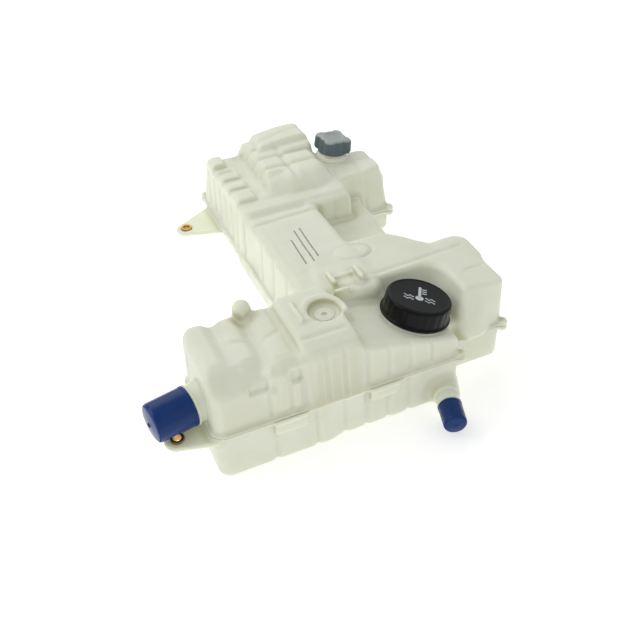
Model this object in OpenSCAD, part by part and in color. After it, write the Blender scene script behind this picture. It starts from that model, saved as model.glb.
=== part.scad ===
// Coolant expansion tank: two moulded halves welded at a flange, a front bar with a wing,
// a bridge and a back box, with a pressure cap, a filler cap, two covered hose necks,
// two fixing ears and a magnetic level float round a dry sensor well.

/* [Moulded halves] */
// Wall thickness
wall = 3.5; // [2.6:0.1:4.4]
// Height of the weld plane above the resting face
weld_z = 60; // [56:1:70]
// How far the weld flange stands out of the walls
flange_out = 4.5; // [3:0.5:6]
// Thickness of each half's flange
flange_t = 3; // [2:0.25:4]
// Corner radius of the walls, seen from above
plan_r = 15; // [10:1:18]
// Radius along the top edges
edge_r = 9; // [6:0.5:12]
// Lean of the walls above the weld, as the inset at the top
draft = 2; // [0:0.5:4]
// Lean of the walls below the weld, as the inset at the floor
low_draft = 4; // [2:0.5:8]
// Radius along the bottom edges
low_edge_r = 9; // [6:1:14]

/* [Front bar] */
// Length of the bar, left wall to right wall
bar_l = 262; // [250:1:290]
// Depth of the bar, front wall to back wall
bar_d = 98; // [94:1:110]
// Height of the bar's left block above the weld plane
bar_rise = 58; // [52:1:64]
// Where the raised pad starts, from the left wall
pad_x = 91; // [84:1:98]
// Width of the raised pad
pad_w = 66; // [60:1:72]
// Height of the raised pad above the left block
pad_rise = 11; // [6:1:14]

/* [Wing] */
// How far the wing reaches past the bar's right end
wing_out = 68; // [56:1:80]
// Set-back of the wing's front wall from the bar's
wing_setback = 25; // [20:1:28]
// Depth of the wing
wing_d = 92; // [88:1:100]
// Height of the wing above the weld plane
wing_rise = 57; // [52:1:62]
// Height of the wing's floor above the resting face
wing_floor = 14; // [8:1:24]

/* [Bridge] */
// Left wall of the bridge and the back box, from the bar's left wall
bridge_x = 126; // [118:1:134]
// Width of the bridge's raised top
bridge_w = 92; // [84:1:100]
// Width of the low shelf beside the bridge
pocket_w = 78; // [66:1:88]
// Height of the low shelf above the weld plane
pocket_rise = 20; // [14:1:28]
// Height of the bridge's top above the weld plane
bridge_rise = 58; // [52:1:64]
// Height of the bridge's floor above the resting face
bridge_floor = 22; // [16:1:30]

/* [Back box] */
// Distance from the bar's front wall to the back box's front wall
back_y = 282; // [270:1:300]
// Depth of the back box's left part
back_d = 145; // [135:1:155]
// Width of the back box's left part
back_w = 140; // [130:1:150]
// Width of the back box's right part, past the left one
side_w = 64; // [58:1:76]
// Depth of the back box's right part
side_d = 84; // [78:1:96]
// Height of the back box above the weld plane
back_rise = 62; // [56:1:68]
// Height of the back box's floor above the resting face
back_floor = 32; // [26:1:40]
// Height of the air dome above the back box
dome_rise = 28; // [20:1:32]
// Width of the air dome
dome_w = 74; // [66:1:78]
// Depth of the air dome
dome_d = 56; // [50:1:64]
// Width of the sump under the back box
sump_w = 98; // [80:1:102]
// Depth of the sump under the back box
sump_d = 82; // [70:1:90]

// Distance from the back box's left wall to its raised block
block_inset = 54; // [48:1:58]
// Width of the raised block
block_w = 68; // [60:1:72]
// Height of the raised block above the back box
block_rise = 16; // [10:1:20]

/* [Pressure neck and cap] */
// Lean of the neck towards the wing
neck_lean = 14; // [10:0.5:18]
// Place of the neck along the bar
neck_x = 232; // [226:1:236]
// Place of the neck behind the front wall
neck_y = 42; // [40:1:46]
// Outer radius of the neck
neck_r = 30; // [28:0.5:32]
// Wall of the neck
neck_wall = 5; // [4:0.25:6]
// Outer radius of the cap's lip
cap_r = 36.5; // [35.5:0.5:38]
// Height of the cap
cap_h = 22; // [20:0.5:25]
// Thickness of the cap's top
cap_top_t = 3; // [2:0.25:4]
// Running clearance between screwed and sliding parts
clearance = 0.3; // [0.2:0.05:0.5]
// Free height under the pressure spring's holder
spring_h = 14; // [12:0.5:15]
// Wire radius of the pressure spring
wire_r = 1; // [0.7:0.1:1.2]
// Radius of the pressure valve plate
plate_r = 14; // [13:0.5:15]

/* [Filler neck and cap] */
// Lean of the filler neck towards the right
filler_lean = 8; // [4:0.5:12]
// Outer radius of the filler neck
filler_r = 16; // [15:0.5:17]
// Wall of the filler neck
filler_wall = 3; // [2.5:0.25:4]
// Radius of the filler cap over its lobes
lobe_r = 24; // [23:0.5:25]
// Number of lobes round the filler cap
lobes = 4; // [3:1:6]
// Height of the filler cap
filler_cap_h = 20; // [18:0.5:24]

/* [Hose necks and their transit caps] */
// Outer radius of the large hose neck
large_r = 19; // [17:0.5:20]
// Wall of the hose necks
hose_wall = 3.2; // [2.6:0.2:3.8]
// Length of the large hose neck, outside the wall
large_l = 52; // [46:1:60]
// Turn of the large neck towards the front
large_turn = 11; // [6:1:14]
// Outer radius of the small hose neck
small_r = 11; // [10:0.5:12]
// Length of the small hose neck, outside the wall
small_l = 52; // [48:1:58]
// Turn of the small neck towards the left
small_turn = 18; // [12:1:22]
// Wall of the transit caps
transit_wall = 1.6; // [1.2:0.1:2]
// How much of its neck the large transit cap covers
large_cover = 40; // [34:1:42]
// How much of its neck the small transit cap covers
small_cover = 32; // [28:1:34]

/* [Fixing ears] */
// Thickness of the ears
ear_t = 5; // [4:0.5:7]
// Radius round each ear's bush
ear_r = 13; // [11.5:0.5:15]
// Outer radius of the bushes
bush_r = 6.5; // [6:0.25:7]
// Bore radius of the bushes, for an 8 mm bolt
bush_bore = 4.25; // [4.1:0.05:5.2]
// Length of the bushes
bush_l = 8; // [7.5:0.5:10]

/* [Level float] */
// Outer radius of the sensor well
well_r = 7; // [6:0.5:8]
// Bore radius of the sensor well
well_bore = 3.2; // [2.6:0.2:3.8]
// Outer radius of the float
float_r = 19; // [17:0.5:20]
// Height of the float
float_h = 22; // [18:1:26]
// Gap between the well's end and the floor under it
well_gap = 8; // [6:0.5:10]

/* [Hidden] */
$fn = 64;
eps = 0.01;
cut = 500; // reach of shapes that only cut
tank_colour = [0.86, 0.87, 0.80];

// Walls seen from above
bar_top = weld_z + bar_rise;
pad_top = bar_top + pad_rise;
pad_right = pad_x + pad_w;
shelf_high = bar_top - 8;
wing_right = bar_l + wing_out;
wing_back = wing_setback + wing_d;
wing_top = weld_z + wing_rise;
wing_step_x = neck_x + cap_r + 7; // where the wing's top begins, right of the cap
ridge_y = neck_y + cap_r + 6; // the raised back of the bar keeps clear of the cap
bridge_right = bridge_x + bridge_w;
pocket_right = bridge_right + pocket_w;
pocket_front = wing_back + 46;
pocket_top = weld_z + pocket_rise;
bridge_top = weld_z + bridge_rise;
shoulder_y = back_y - 25; // front wall of the back box's raised top
back_back = back_y + back_d;
back_split = bridge_x + back_w;
step_x = back_split + 16; // where the side box's front wall steps back
side_right = back_split + side_w;
side_back = back_y + side_d - 18;
back_top = weld_z + back_rise;
dome_x = bridge_x + 60;
dome_y = back_back - dome_d - 6;
dome_top = back_top + dome_rise;
sump_x = bridge_x + 30;
block_x = bridge_x + block_inset;
block_y = back_y + 14;
block_back = dome_y + dome_d - 2;
block_top = back_top + block_rise;
block_row = 24; // distance between the grooves across the raised block
sump_y = back_back - sump_d - 6;

// Heights and places of what the walls carry
function shelf_z(x) = shelf_high - (x - pad_right) * tan(neck_lean);
neck_seat_h = 6; // from the sloping top to the cap's lower rim, along the neck
neck_root = [neck_x - neck_seat_h * sin(neck_lean), neck_y, shelf_z(neck_x)];
neck_in = neck_r - neck_wall;
seal_t = 1.5;
body_flange_t = 2;
// Height of the neck's rim above the cap's lower rim: the cap's top presses the body's flange on the seal
neck_top = cap_h - cap_top_t - clearance - body_flange_t - seal_t;
cap_skirt_r = cap_r - 2;
cap_skirt_in = neck_r + clearance;
body_r = neck_in - clearance;
body_wall = 3;
body_in = body_r - body_wall;
seat_z = -8; // underside of the valve body, from the cap's lower rim
seat_t = 3;
seat_hole_r = 9;
plate_t = 2;
plate_z = seat_z + seat_t;
holder_z = plate_z + plate_t + spring_h;
holder_t = 2;
ring_r = 1.5;
ring_z = 4;
stem_r = 1.6;
valve_r = 6;
valve_t = 1.5;
stem_h = 9;
stem_head_r = 4;
thin_wire = 0.5;

filler_x = back_split + 13;
filler_y = side_back - 3;
filler_axis_root = [filler_x, filler_y, back_top];
filler_in = filler_r - filler_wall;
filler_gap = 5; // from the back box's top to the filler cap's lower rim
filler_top_t = 3;
plug_flange_t = 2;
filler_rim = filler_cap_h - filler_top_t - clearance - plug_flange_t - seal_t;
plug_r = filler_in - clearance;
plug_wall = 2.5;
plug_h = 12;
boss_right = filler_x + filler_r + 4; // the back wall steps out behind the filler neck
boss_back = filler_y + filler_r + 6;

large_z = weld_z + large_r + 1; // the cap over the neck passes above the ear
large_y = 39;
large_cap_r = large_r + clearance / 2 + transit_wall;
small_z = 20;
small_x = bar_l - 15;
small_cap_r = small_r + clearance / 2 + transit_wall;
pip_r = 2.2;
pip_h = 1.2;

front_ear = [-31, 21];
rear_ear = [bridge_x - 43, back_back - 60];
well_x = pad_x + 46;
well_y = 52;
well_foot = wall + well_gap;
well_floor = 4;
well_fit = 0.1; // the tube is a push fit in the dish's floor
well_head_r = well_r + 3;
well_head_t = 1.5;
dish_r = 17;
dish_t = 5;
retainer_t = 2;
retainer_z = well_foot + 3;
float_z = retainer_z + retainer_t + clearance;
float_in = well_r + clearance;
magnet_t = 5;
magnet_in = float_in + 2;
magnet_out = magnet_in + 4;

collar_t = 2.5; // how far the collar round each hose neck's root stands out
collar_h = 6;
neck_stub = 12; // how far each hose neck's root reaches in before the hollow is cut
knob_out = 1.5;
knob_r = 6;
ear_top = weld_z - flange_t;
lug_h = 3;
lug_w = 34;
lug_places = [57, pad_right + 2];

// Outermost points, which set the origin at the middle of the resting face
leftmost = -large_l * cos(large_turn) - pip_h - transit_wall - large_cap_r * sin(large_turn);
rightmost = max(wing_right, side_right) + flange_out + knob_out;
frontmost = -(small_l + pip_h + transit_wall) * cos(small_turn) - small_cap_r * sin(small_turn);
backmost = back_back + flange_out;

// Points in the corners of a polygon are rounded by the third number of each point
function unit(v) = v / norm(v);
function turn(a) = a > 180 ? a - 360 : a < -180 ? a + 360 : a;
function rounded_corner(p0, p1, p2, r) = let (
        d1 = unit(p0 - p1),
        d2 = unit(p2 - p1),
        half = acos(d1 * d2) / 2,
        centre = p1 + unit(d1 + d2) * r / sin(half),
        from = p1 + d1 * r / tan(half) - centre,
        to = p1 + d2 * r / tan(half) - centre,
        a0 = atan2(from[1], from[0]),
        sweep = turn(atan2(to[1], to[0]) - a0),
        steps = max(1, ceil(abs(sweep) / 18))
    ) [for (i = [0:steps]) centre + r * [cos(a0 + sweep * i / steps), sin(a0 + sweep * i / steps)]];
function flat_of(p) = [p[0], p[1]];
function soft_outline(pts) = [for (i = [0:len(pts) - 1]) let (
        p0 = flat_of(pts[(i + len(pts) - 1) % len(pts)]),
        p1 = flat_of(pts[i]),
        p2 = flat_of(pts[(i + 1) % len(pts)]),
        r = pts[i][2]
    ) each (r < 0.3 ? [p1] : rounded_corner(p0, p1, p2, r))];
// Moves every edge of a counter-clockwise outline outwards by g, and keeps the arcs' centres
function grown(pts, g) = [for (i = [0:len(pts) - 1]) let (
        p0 = flat_of(pts[(i + len(pts) - 1) % len(pts)]),
        p1 = flat_of(pts[i]),
        p2 = flat_of(pts[(i + 1) % len(pts)]),
        d1 = unit(p1 - p0),
        d2 = unit(p2 - p1),
        n1 = [d1[1], -d1[0]],
        n2 = [d2[1], -d2[0]],
        convex = d1[0] * d2[1] - d1[1] * d2[0] > 0,
        q = p1 + (n1 + n2) * g / (1 + n1 * n2)
    ) [q[0], q[1], pts[i][2] < 0.3 ? pts[i][2] : max(0.5, pts[i][2] + (convex ? g : -g))]];

// A chamber is what three outlines share: seen from above, from the front and from the side
module chamber(plan, front, side, g) {
    intersection() {
        linear_extrude(cut) polygon(soft_outline(grown(plan, g)));
        translate([0, cut, 0]) rotate([90, 0, 0]) linear_extrude(2 * cut) polygon(soft_outline(grown(front, g)));
        translate([-cut, 0, 0]) rotate([90, 0, 90]) linear_extrude(2 * cut) polygon(soft_outline(grown(side, g)));
    }
}
function box_plan(x0, y0, x1, y1, r) = [[x0, y0, r], [x1, y0, r], [x1, y1, r], [x0, y1, r]];
function upright(a0, a1, low, high) = [[a0 + low_draft, low, low_edge_r], [a1 - low_draft, low, low_edge_r],
    [a1, weld_z, 0], [a1 - draft, high, edge_r], [a0 + draft, high, edge_r], [a0, weld_z, 0]];

bar_plan = box_plan(0, 0, bar_l, bar_d, plan_r);
bar_front = [[low_draft, 0, low_edge_r], [bar_l - low_draft, 0, low_edge_r], [bar_l, weld_z, 0],
    [bar_l - draft, shelf_z(bar_l), 5], [pad_right, shelf_high, 4], [pad_right - 8, bar_top, 3],
    [draft, bar_top, edge_r], [0, weld_z, 0]];
bar_side = upright(0, bar_d, 0, bar_top);
pad_plan = box_plan(pad_x, 2, pad_right, bar_d - 2, plan_r - 2);
pad_front = [[pad_x, weld_z + 12, 2], [pad_right, weld_z + 12, 2],
    [pad_right - 3, pad_top, 6], [pad_x + 3, pad_top, 6]];
pad_side = [[2, weld_z + 12, 2], [bar_d - 2, weld_z + 12, 2], [bar_d - 6, pad_top, 6], [6, pad_top, 6]];
wing_plan = [[bar_l - 26, wing_setback, 4], [wing_right, wing_setback, plan_r], [wing_right, wing_back, plan_r],
    [bar_l - 26, wing_back, 4]];
wing_front = [[bar_l - 26, wing_floor, 4], [wing_right - low_draft, wing_floor, low_edge_r], [wing_right, weld_z, 0],
    [wing_right - 3 * draft, wing_top, edge_r], [wing_step_x + 4, wing_top, 6], [wing_step_x, shelf_z(bar_l) - 4, 6],
    [bar_l - 26, shelf_z(bar_l) - 4, 4]];
wing_side = [[wing_setback + low_draft, wing_floor, low_edge_r], [wing_back, wing_floor, low_edge_r],
    [wing_back, wing_top, edge_r], [wing_setback + 8, wing_top, edge_r], [wing_setback, weld_z, 0]];
ridge_plan = [[pad_right - 14, ridge_y, 4], [wing_right - 6, ridge_y, 6], [wing_right - 6, wing_back, plan_r],
    [bar_l + 20, wing_back + 4, 16], [bar_l - 2, wing_back + 36, 16], [bridge_right - 20, pocket_front, 6],
    [bridge_x + 40, pocket_front, 4]];
ridge_front = upright(pad_right - 14, wing_right - 4, bridge_floor, wing_top);
ridge_side = upright(ridge_y, pocket_front, bridge_floor, wing_top);
bridge_plan = box_plan(bridge_x, bar_d - 24, bridge_right, back_y + 24, plan_r);
bridge_front = upright(bridge_x, bridge_right, bridge_floor, bridge_top);
bridge_side = upright(bar_d - 24, back_y + 24, bridge_floor, bridge_top);
pocket_plan = box_plan(bridge_right - 30, wing_back - 20, pocket_right, back_y + 24, 6);
pocket_front_outline = upright(bridge_right - 30, pocket_right, bridge_floor + 4, pocket_top);
pocket_side = upright(wing_back - 20, back_y + 24, bridge_floor + 4, pocket_top);
back_plan = box_plan(bridge_x, shoulder_y, back_split, back_back, plan_r);
back_front = upright(bridge_x, back_split, back_floor, back_top);
back_side = [[shoulder_y + low_draft, back_floor, low_edge_r], [back_back - low_draft, back_floor, low_edge_r],
    [back_back, weld_z, 0], [back_back - 2 * draft, back_top, edge_r], [shoulder_y + 8, back_top, edge_r],
    [shoulder_y, weld_z, 0]];
side_plan = [[back_split - 30, shoulder_y, 4], [step_x, shoulder_y, 8], [step_x, back_y, 8],
    [side_right, back_y, plan_r], [side_right, side_back, 8], [boss_right, side_back, 8], [boss_right, boss_back, 8],
    [back_split - 30, boss_back, 8]];
side_front = upright(back_split - 30, side_right, back_floor, back_top - 3);
side_side = upright(shoulder_y, boss_back, back_floor, back_top - 3);
dome_plan = box_plan(dome_x, dome_y, dome_x + dome_w, dome_y + dome_d, plan_r + 6);
dome_front = [[dome_x, weld_z + 10, 2], [dome_x + dome_w, weld_z + 10, 2], [dome_x + dome_w - 4, back_top, 0],
    [dome_x + dome_w - 16, dome_top, 12], [dome_x + 8, dome_top - 6, 12], [dome_x + 2, back_top, 0]];
dome_side = [[dome_y, weld_z + 10, 2], [dome_y + dome_d, weld_z + 10, 2], [dome_y + dome_d - 2, back_top, 0],
    [dome_y + dome_d - 16, dome_top, 10], [dome_y + 14, dome_top - 3, 10], [dome_y + 4, back_top, 0]];
block_plan = box_plan(block_x, block_y, block_x + block_w, block_back, 9);
block_front = [[block_x, weld_z + 10, 2], [block_x + block_w, weld_z + 10, 2], [block_x + block_w, back_top, 0],
    [block_x + block_w - 2, block_top, 6], [block_x + 2, block_top, 6], [block_x, back_top, 0]];
block_side = [[block_y, weld_z + 10, 2], [block_back, weld_z + 10, 2], [block_back, back_top, 0],
    [block_back - 2, block_top, 6], [block_y + 2, block_top, 6], [block_y, back_top, 0]];
sump_plan = box_plan(sump_x, sump_y, sump_x + sump_w, sump_y + sump_d, plan_r);
sump_front = [[sump_x + 6, 0, edge_r], [sump_x + sump_w - 6, 0, edge_r],
    [sump_x + sump_w, weld_z - 8, 2], [sump_x, weld_z - 8, 2]];
sump_side = [[sump_y + 6, 0, edge_r], [sump_y + sump_d - 6, 0, edge_r],
    [sump_y + sump_d, weld_z - 8, 2], [sump_y, weld_z - 8, 2]];

// All chambers together; g below 0 gives the hollow inside the walls
module chambers(g) {
    union() {
        chamber(bar_plan, bar_front, bar_side, g);
        chamber(pad_plan, pad_front, pad_side, g);
        chamber(wing_plan, wing_front, wing_side, g);
        chamber(ridge_plan, ridge_front, ridge_side, g);
        chamber(bridge_plan, bridge_front, bridge_side, g);
        chamber(pocket_plan, pocket_front_outline, pocket_side, g);
        chamber(back_plan, back_front, back_side, g);
        chamber(side_plan, side_front, side_side, g);
        chamber(block_plan, block_front, block_side, g);
        chamber(dome_plan, dome_front, dome_side, g);
        chamber(sump_plan, sump_front, sump_side, g);
    }
}
// The weld flange's outline is every chamber's plan, grown
module flange_outline() {
    union() {
        for (plan = [bar_plan, wing_plan, bridge_plan, pocket_plan, back_plan, side_plan])
            polygon(soft_outline(grown(plan, flange_out)));
        for (p = [[bar_l, 0], [wing_right, wing_setback], [wing_right, wing_back], [side_right, back_y],
                [side_right, side_back], [bridge_x, back_back], [0, 0], [0, bar_d]])
            translate(p + corner_lean(p)) circle(knob_r);
    }
}
// Corner knobs sit inside the corner, so they stand out by the same amount everywhere
function corner_lean(p) = [p[0] > 200 ? flange_out + knob_out - knob_r : knob_r - flange_out - knob_out + 1,
    p[1] > 90 ? flange_out - knob_r : knob_r - flange_out];

// Walls across the inside, with flow holes near their foot and a vent at the top
flow_r = 9;
vent_r = 5;
vent_z = weld_z + 34;
module through_x(r) rotate([0, 90, 0]) translate([0, 0, -eps]) cylinder(r = r, h = wall + 2 * eps);
module through_y(r) rotate([-90, 0, 0]) translate([0, 0, -eps]) cylinder(r = r, h = wall + 2 * eps);
module baffle_x(x, y0, y1) {
    difference() {
        translate([x, y0, -eps]) cube([wall, y1 - y0, cut]);
        for (y = [y0 + 26, y1 - 26]) translate([x, y, weld_z - 22]) through_x(flow_r);
        translate([x, (y0 + y1) / 2, vent_z]) through_x(vent_r);
    }
}
module baffle_y(y, x0, x1) {
    difference() {
        translate([x0, y, -eps]) cube([x1 - x0, wall, cut]);
        for (x = [x0 + 24, x1 - 24]) translate([x, y, weld_z - 14]) through_y(flow_r);
        translate([(x0 + x1) / 2, y, vent_z]) through_y(vent_r);
    }
}
module baffles() {
    baffle_x(pad_x - 14, 0, bar_d);
    baffle_x(pad_right + 6, 0, ridge_y - wall);
    baffle_y(pocket_front - 12, bridge_x, bridge_right);
    baffle_y(shoulder_y + 13, bridge_x, back_split);
    baffle_x(back_split - wall - 6, back_y + 10, side_back);
}
module hollow() {
    difference() {
        chambers(-wall);
        baffles();
    }
}

// Shallow grooves that follow a wall's lean, on a wall that faces the front or the left
groove_w = 3;
groove_t = 1.4;
groove_pitch = 24;
upper_lean = atan(draft / bar_rise);
lower_lean = atan(low_draft / weld_z);
module groove(from, to) {
    translate([0, -cut / 2, from]) cube([groove_w, cut / 2 + groove_t, to - from]);
}
module front_grooves(x0, count, y, from, to, lean) {
    for (i = [0:count - 1]) translate([x0 + i * groove_pitch, y, weld_z]) rotate([lean, 0, 0]) groove(from, to);
}
module left_grooves(y0, count, x, from, to, lean) {
    for (i = [0:count - 1]) translate([x, y0 + i * groove_pitch, weld_z])
        rotate([0, lean, 0]) rotate([0, 0, -90]) groove(from, to);
}
// A raised pad with round corners, on a level top
module pillow(x0, y0, x1, y1, z, h) {
    translate([0, 0, z - 1]) linear_extrude(h + 1) polygon(soft_outline(box_plan(x0, y0, x1, y1, 5)));
    translate([0, 0, z - 1]) linear_extrude(h + 2.2)
        polygon(soft_outline(box_plan(x0 + 2.5, y0 + 2.5, x1 - 2.5, y1 - 2.5, 3)));
}
module at_neck() translate(neck_root) rotate([0, neck_lean, 0]) translate([0, 0, neck_seat_h]) children();
module at_filler() translate(filler_axis_root) rotate([0, filler_lean, 0]) translate([0, 0, filler_gap]) children();
module at_large() translate([0, large_y, large_z]) rotate([0, 0, large_turn]) rotate([0, -90, 0]) children();
module at_small() translate([small_x, 0, small_z]) rotate([0, 0, -small_turn]) rotate([90, 0, 0]) children();
module placed() translate([-(leftmost + rightmost) / 2, -(frontmost + backmost) / 2, 0]) children();

module upper_half() {
    translate([-cut, -cut, weld_z]) cube([3 * cut, 3 * cut, cut]);
}
module lower_half() {
    translate([-cut, -cut, weld_z - cut]) cube([3 * cut, 3 * cut, cut]);
}

// Places of the pillows and the post on the left block
roll_right = 28;
middle_left = roll_right + 6;
middle_right = 60;
last_left = middle_right + 4;
pillow_inset = 6; // from the block's back edge
post_x = 66;
post_r = 7;
module top_details() {
    // Left block: a roll along its left end and three pillows
    pillow(5, 10, roll_right, bar_d - 5, bar_top, 1.5);
    pillow(middle_left, 2 * pillow_inset, middle_right, 52, bar_top, 0.8);
    pillow(middle_left, 58, middle_right, bar_d - pillow_inset, bar_top, 0.8);
    pillow(last_left, 2 * pillow_inset, pad_x - 2, bar_d - pillow_inset, bar_top, 0.8);
    // Post on the back wall of the left block
    translate([post_x, bar_d - post_r, weld_z + 20]) cylinder(r = post_r, h = bar_top - weld_z - 12);
    translate([post_x, bar_d - post_r, bar_top + 8]) sphere(r = post_r);
    // Fins beside the round dish
    translate([well_x - 21, well_y + 2, pad_top - 2]) cube([3, 34, 7]);
    translate([well_x + 16, well_y + 20, pad_top - 2]) rotate([0, 0, 60]) cube([26, 3, 6]);
    // Bracket and post behind the sloping top
    difference() {
        translate([pad_right + 22, ridge_y - 1, wing_top - 4]) cube([15, 18, 10]);
        translate([pad_right + 24.5, ridge_y - 2, wing_top + 1]) cube([10, 16.5, 10]);
    }
    translate([pad_right + 46, ridge_y + 5, wing_top - 4]) cylinder(r = 4.5, h = 10);
    // Oval disc in front of the low shelf
    translate([bridge_right - 8, wing_back + 26, wing_top - 1]) scale([1.5, 1.0, 1]) cylinder(r = 14, h = 2.2);
    // Two columns of pillows on the raised block
    for (i = [0:1], j = [0:2]) pillow(block_x + 4 + i * block_w / 2, block_y + 4 + j * block_row,
        block_x - 4 + (i + 1) * block_w / 2, block_y + (j + 1) * block_row, block_top, 0.8);
    // Ladder of short pads along the back box's left edge
    for (j = [0:3]) pillow(bridge_x + 10, back_y + 21 + j * 22, bridge_x + 43, back_y + 38 + j * 22, back_top, 4);
    pillow(bridge_x + 7, back_back - 32, bridge_x + 26, back_back - 7, back_top, 4);
    translate([dome_x - 6, back_back - 34, back_top - 2]) cylinder(r = 5, h = 10);
}

module upper_shell() {
    color(tank_colour) placed() difference() {
        union() {
            intersection() {
                union() {
                    chambers(0);
                    translate([0, 0, weld_z]) linear_extrude(flange_t) flange_outline();
                    at_large() {
                        translate([0, 0, -neck_stub]) cylinder(r = large_r, h = neck_stub + large_l - eps);
                        translate([0, 0, -neck_stub]) cylinder(r = large_r + collar_t, h = neck_stub + collar_h);
                    }
                }
                upper_half();
            }
            top_details();
            at_neck() {
                translate([0, 0, -24]) cylinder(r = neck_r, h = 24 + neck_top);
                translate([0, 0, -neck_seat_h - 4]) cylinder(r = neck_r + 3.5, h = 7.5);
            }
            at_filler() {
                translate([0, 0, -16]) cylinder(r = filler_r, h = 16 + filler_rim);
                translate([0, 0, -filler_gap - 4]) cylinder(r = filler_r + 3, h = 7);
            }
        }
        difference() {
            intersection() {
                hollow();
                translate([0, 0, -eps]) upper_half();
            }
            translate([well_x, well_y, pad_top - dish_t - wall]) cylinder(r = dish_r + wall, h = cut);
        }
        at_neck() translate([0, 0, -cut / 8]) cylinder(r = neck_in, h = cut / 4);
        at_filler() translate([0, 0, -cut / 10]) cylinder(r = filler_in, h = cut / 4);
        at_large() translate([0, 0, -wall - 14]) cylinder(r = large_r - hose_wall, h = cut / 4);
        translate([well_x, well_y, pad_top - dish_t]) cylinder(r = dish_r, h = cut);
        translate([well_x, well_y, pad_top - dish_t - cut / 10]) cylinder(r = well_r + well_fit, h = cut / 5);
        translate([well_x, well_y, pad_top - dish_t - well_head_t]) cylinder(r = well_head_r + well_fit, h = cut);
        front_grooves(groove_pitch * 1.8, 9, 0, flange_t + 3, shelf_z(bar_l) - weld_z - 6, -upper_lean);
        left_grooves(bar_d + 34, 12, bridge_x, flange_t + 3, bridge_rise - 14, upper_lean);
    }
}
// Dry well for the level sensor: a tube closed at its foot, seated in the floor of the dish
module sensor_tube() {
    color(tank_colour) placed() translate([well_x, well_y, 0]) difference() {
        union() {
            translate([0, 0, well_foot]) cylinder(r = well_r, h = pad_top - dish_t - well_foot);
            translate([0, 0, pad_top - dish_t - well_head_t]) cylinder(r = well_head_r, h = well_head_t);
        }
        translate([0, 0, well_foot + well_floor]) cylinder(r = well_bore, h = cut);
        translate([0, 0, retainer_z]) difference() {
            cylinder(r = well_r + 1, h = retainer_t);
            translate([0, 0, -eps]) cylinder(r = well_r - 1, h = retainer_t + 2 * eps);
        }
    }
}

module lower_shell() {
    color(tank_colour) placed() difference() {
        union() {
            difference() {
                union() {
                    intersection() {
                        union() {
                            chambers(0);
                            translate([0, 0, weld_z - flange_t]) linear_extrude(flange_t) flange_outline();
                        }
                        lower_half();
                    }
                    // Lugs along the front flange
                    for (x = lug_places) translate([x, -flange_out - knob_out, ear_top - lug_h])
                        cube([lug_w, flange_out + 2 * knob_out, flange_t + lug_h]);
                    // Fixing ears
                    translate([0, 0, ear_top - ear_t]) linear_extrude(ear_t) {
                        ear_outline(front_ear, [wall, -flange_out], [wall, 48]);
                        ear_outline(rear_ear, [bridge_x + wall, back_back - 18], [bridge_x + wall, back_back - 88]);
                    }
                }
                front_grooves(groove_pitch * 1.8, 8, 0, low_edge_r + 4 - weld_z, -flange_t - 5, lower_lean);
            }
            at_small() {
                translate([0, 0, -neck_stub]) cylinder(r = small_r, h = neck_stub + small_l - eps);
                translate([0, 0, -neck_stub]) cylinder(r = small_r + collar_t, h = neck_stub + 2 * collar_h);
            }
        }
        intersection() {
            hollow();
            translate([0, 0, eps]) lower_half();
        }
        for (p = [front_ear, rear_ear]) translate([p[0], p[1], 0]) cylinder(r = bush_r, h = cut);
        at_small() translate([0, 0, -wall - 12]) cylinder(r = small_r - hose_wall, h = cut / 4);
    }
}
// An ear runs from two points on the wall to the tangents of the circle round its bush
function tangent(w, hole, side) = let (d = hole - w, a = atan2(d[1], d[0]) + side * acos(ear_r / norm(d)))
    hole - ear_r * [cos(a), sin(a)];
function outer_tangent(w, other, hole) = let (t1 = tangent(w, hole, 1), t2 = tangent(w, hole, -1))
    norm(t1 - other) > norm(t2 - other) ? t1 : t2;
module ear_outline(hole, wall_a, wall_b) {
    union() {
        polygon([wall_a, wall_b, outer_tangent(wall_b, wall_a, hole), hole, outer_tangent(wall_a, wall_b, hole)]);
        translate(hole) circle(ear_r);
    }
}

module pressure_cap_shell() {
    color([0.11, 0.12, 0.13]) placed() at_neck() difference() {
        union() {
            cylinder(r = cap_r, h = 2.4);
            cylinder(r = cap_skirt_r, h = cap_h - 4);
            translate([0, 0, cap_h - 4 - eps]) rotate_extrude() intersection() {
                square([cap_skirt_r, 4 + eps]);
                union() {
                    square([cap_skirt_r - 4, 4 + eps]);
                    translate([cap_skirt_r - 4, 0]) circle(r = 4 + eps);
                }
            }
        }
        translate([0, 0, -eps]) cylinder(r = cap_skirt_in, h = cap_h - cap_top_t + eps);
        translate([0, 0, cap_h - 0.8]) cylinder(r = cap_skirt_r - 5.5, h = 2);
    }
}
// Valve body: a cup that hangs in the neck by its flange, with a valve seat in its floor
module cap_valve_body() {
    color([0.25, 0.26, 0.27]) placed() at_neck() difference() {
        union() {
            translate([0, 0, neck_top + seal_t]) cylinder(r = neck_r - 0.5, h = body_flange_t);
            translate([0, 0, seat_z]) cylinder(r = body_r, h = neck_top + seal_t - seat_z + eps);
        }
        translate([0, 0, plate_z]) cylinder(r = body_in, h = cut);
        translate([0, 0, seat_z - eps]) cylinder(r = seat_hole_r, h = cut);
        translate([0, 0, ring_z]) rotate_extrude() translate([body_r - 0.8 * ring_r, -ring_r]) square([10, 2 * ring_r]);
    }
}
module cap_neck_seal() {
    color([0.1, 0.1, 0.1]) placed() at_neck() translate([0, 0, neck_top]) difference() {
        cylinder(r = neck_r - 0.8, h = seal_t);
        translate([0, 0, -eps]) cylinder(r = neck_in + 0.2, h = seal_t + 2 * eps);
    }
}
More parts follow.
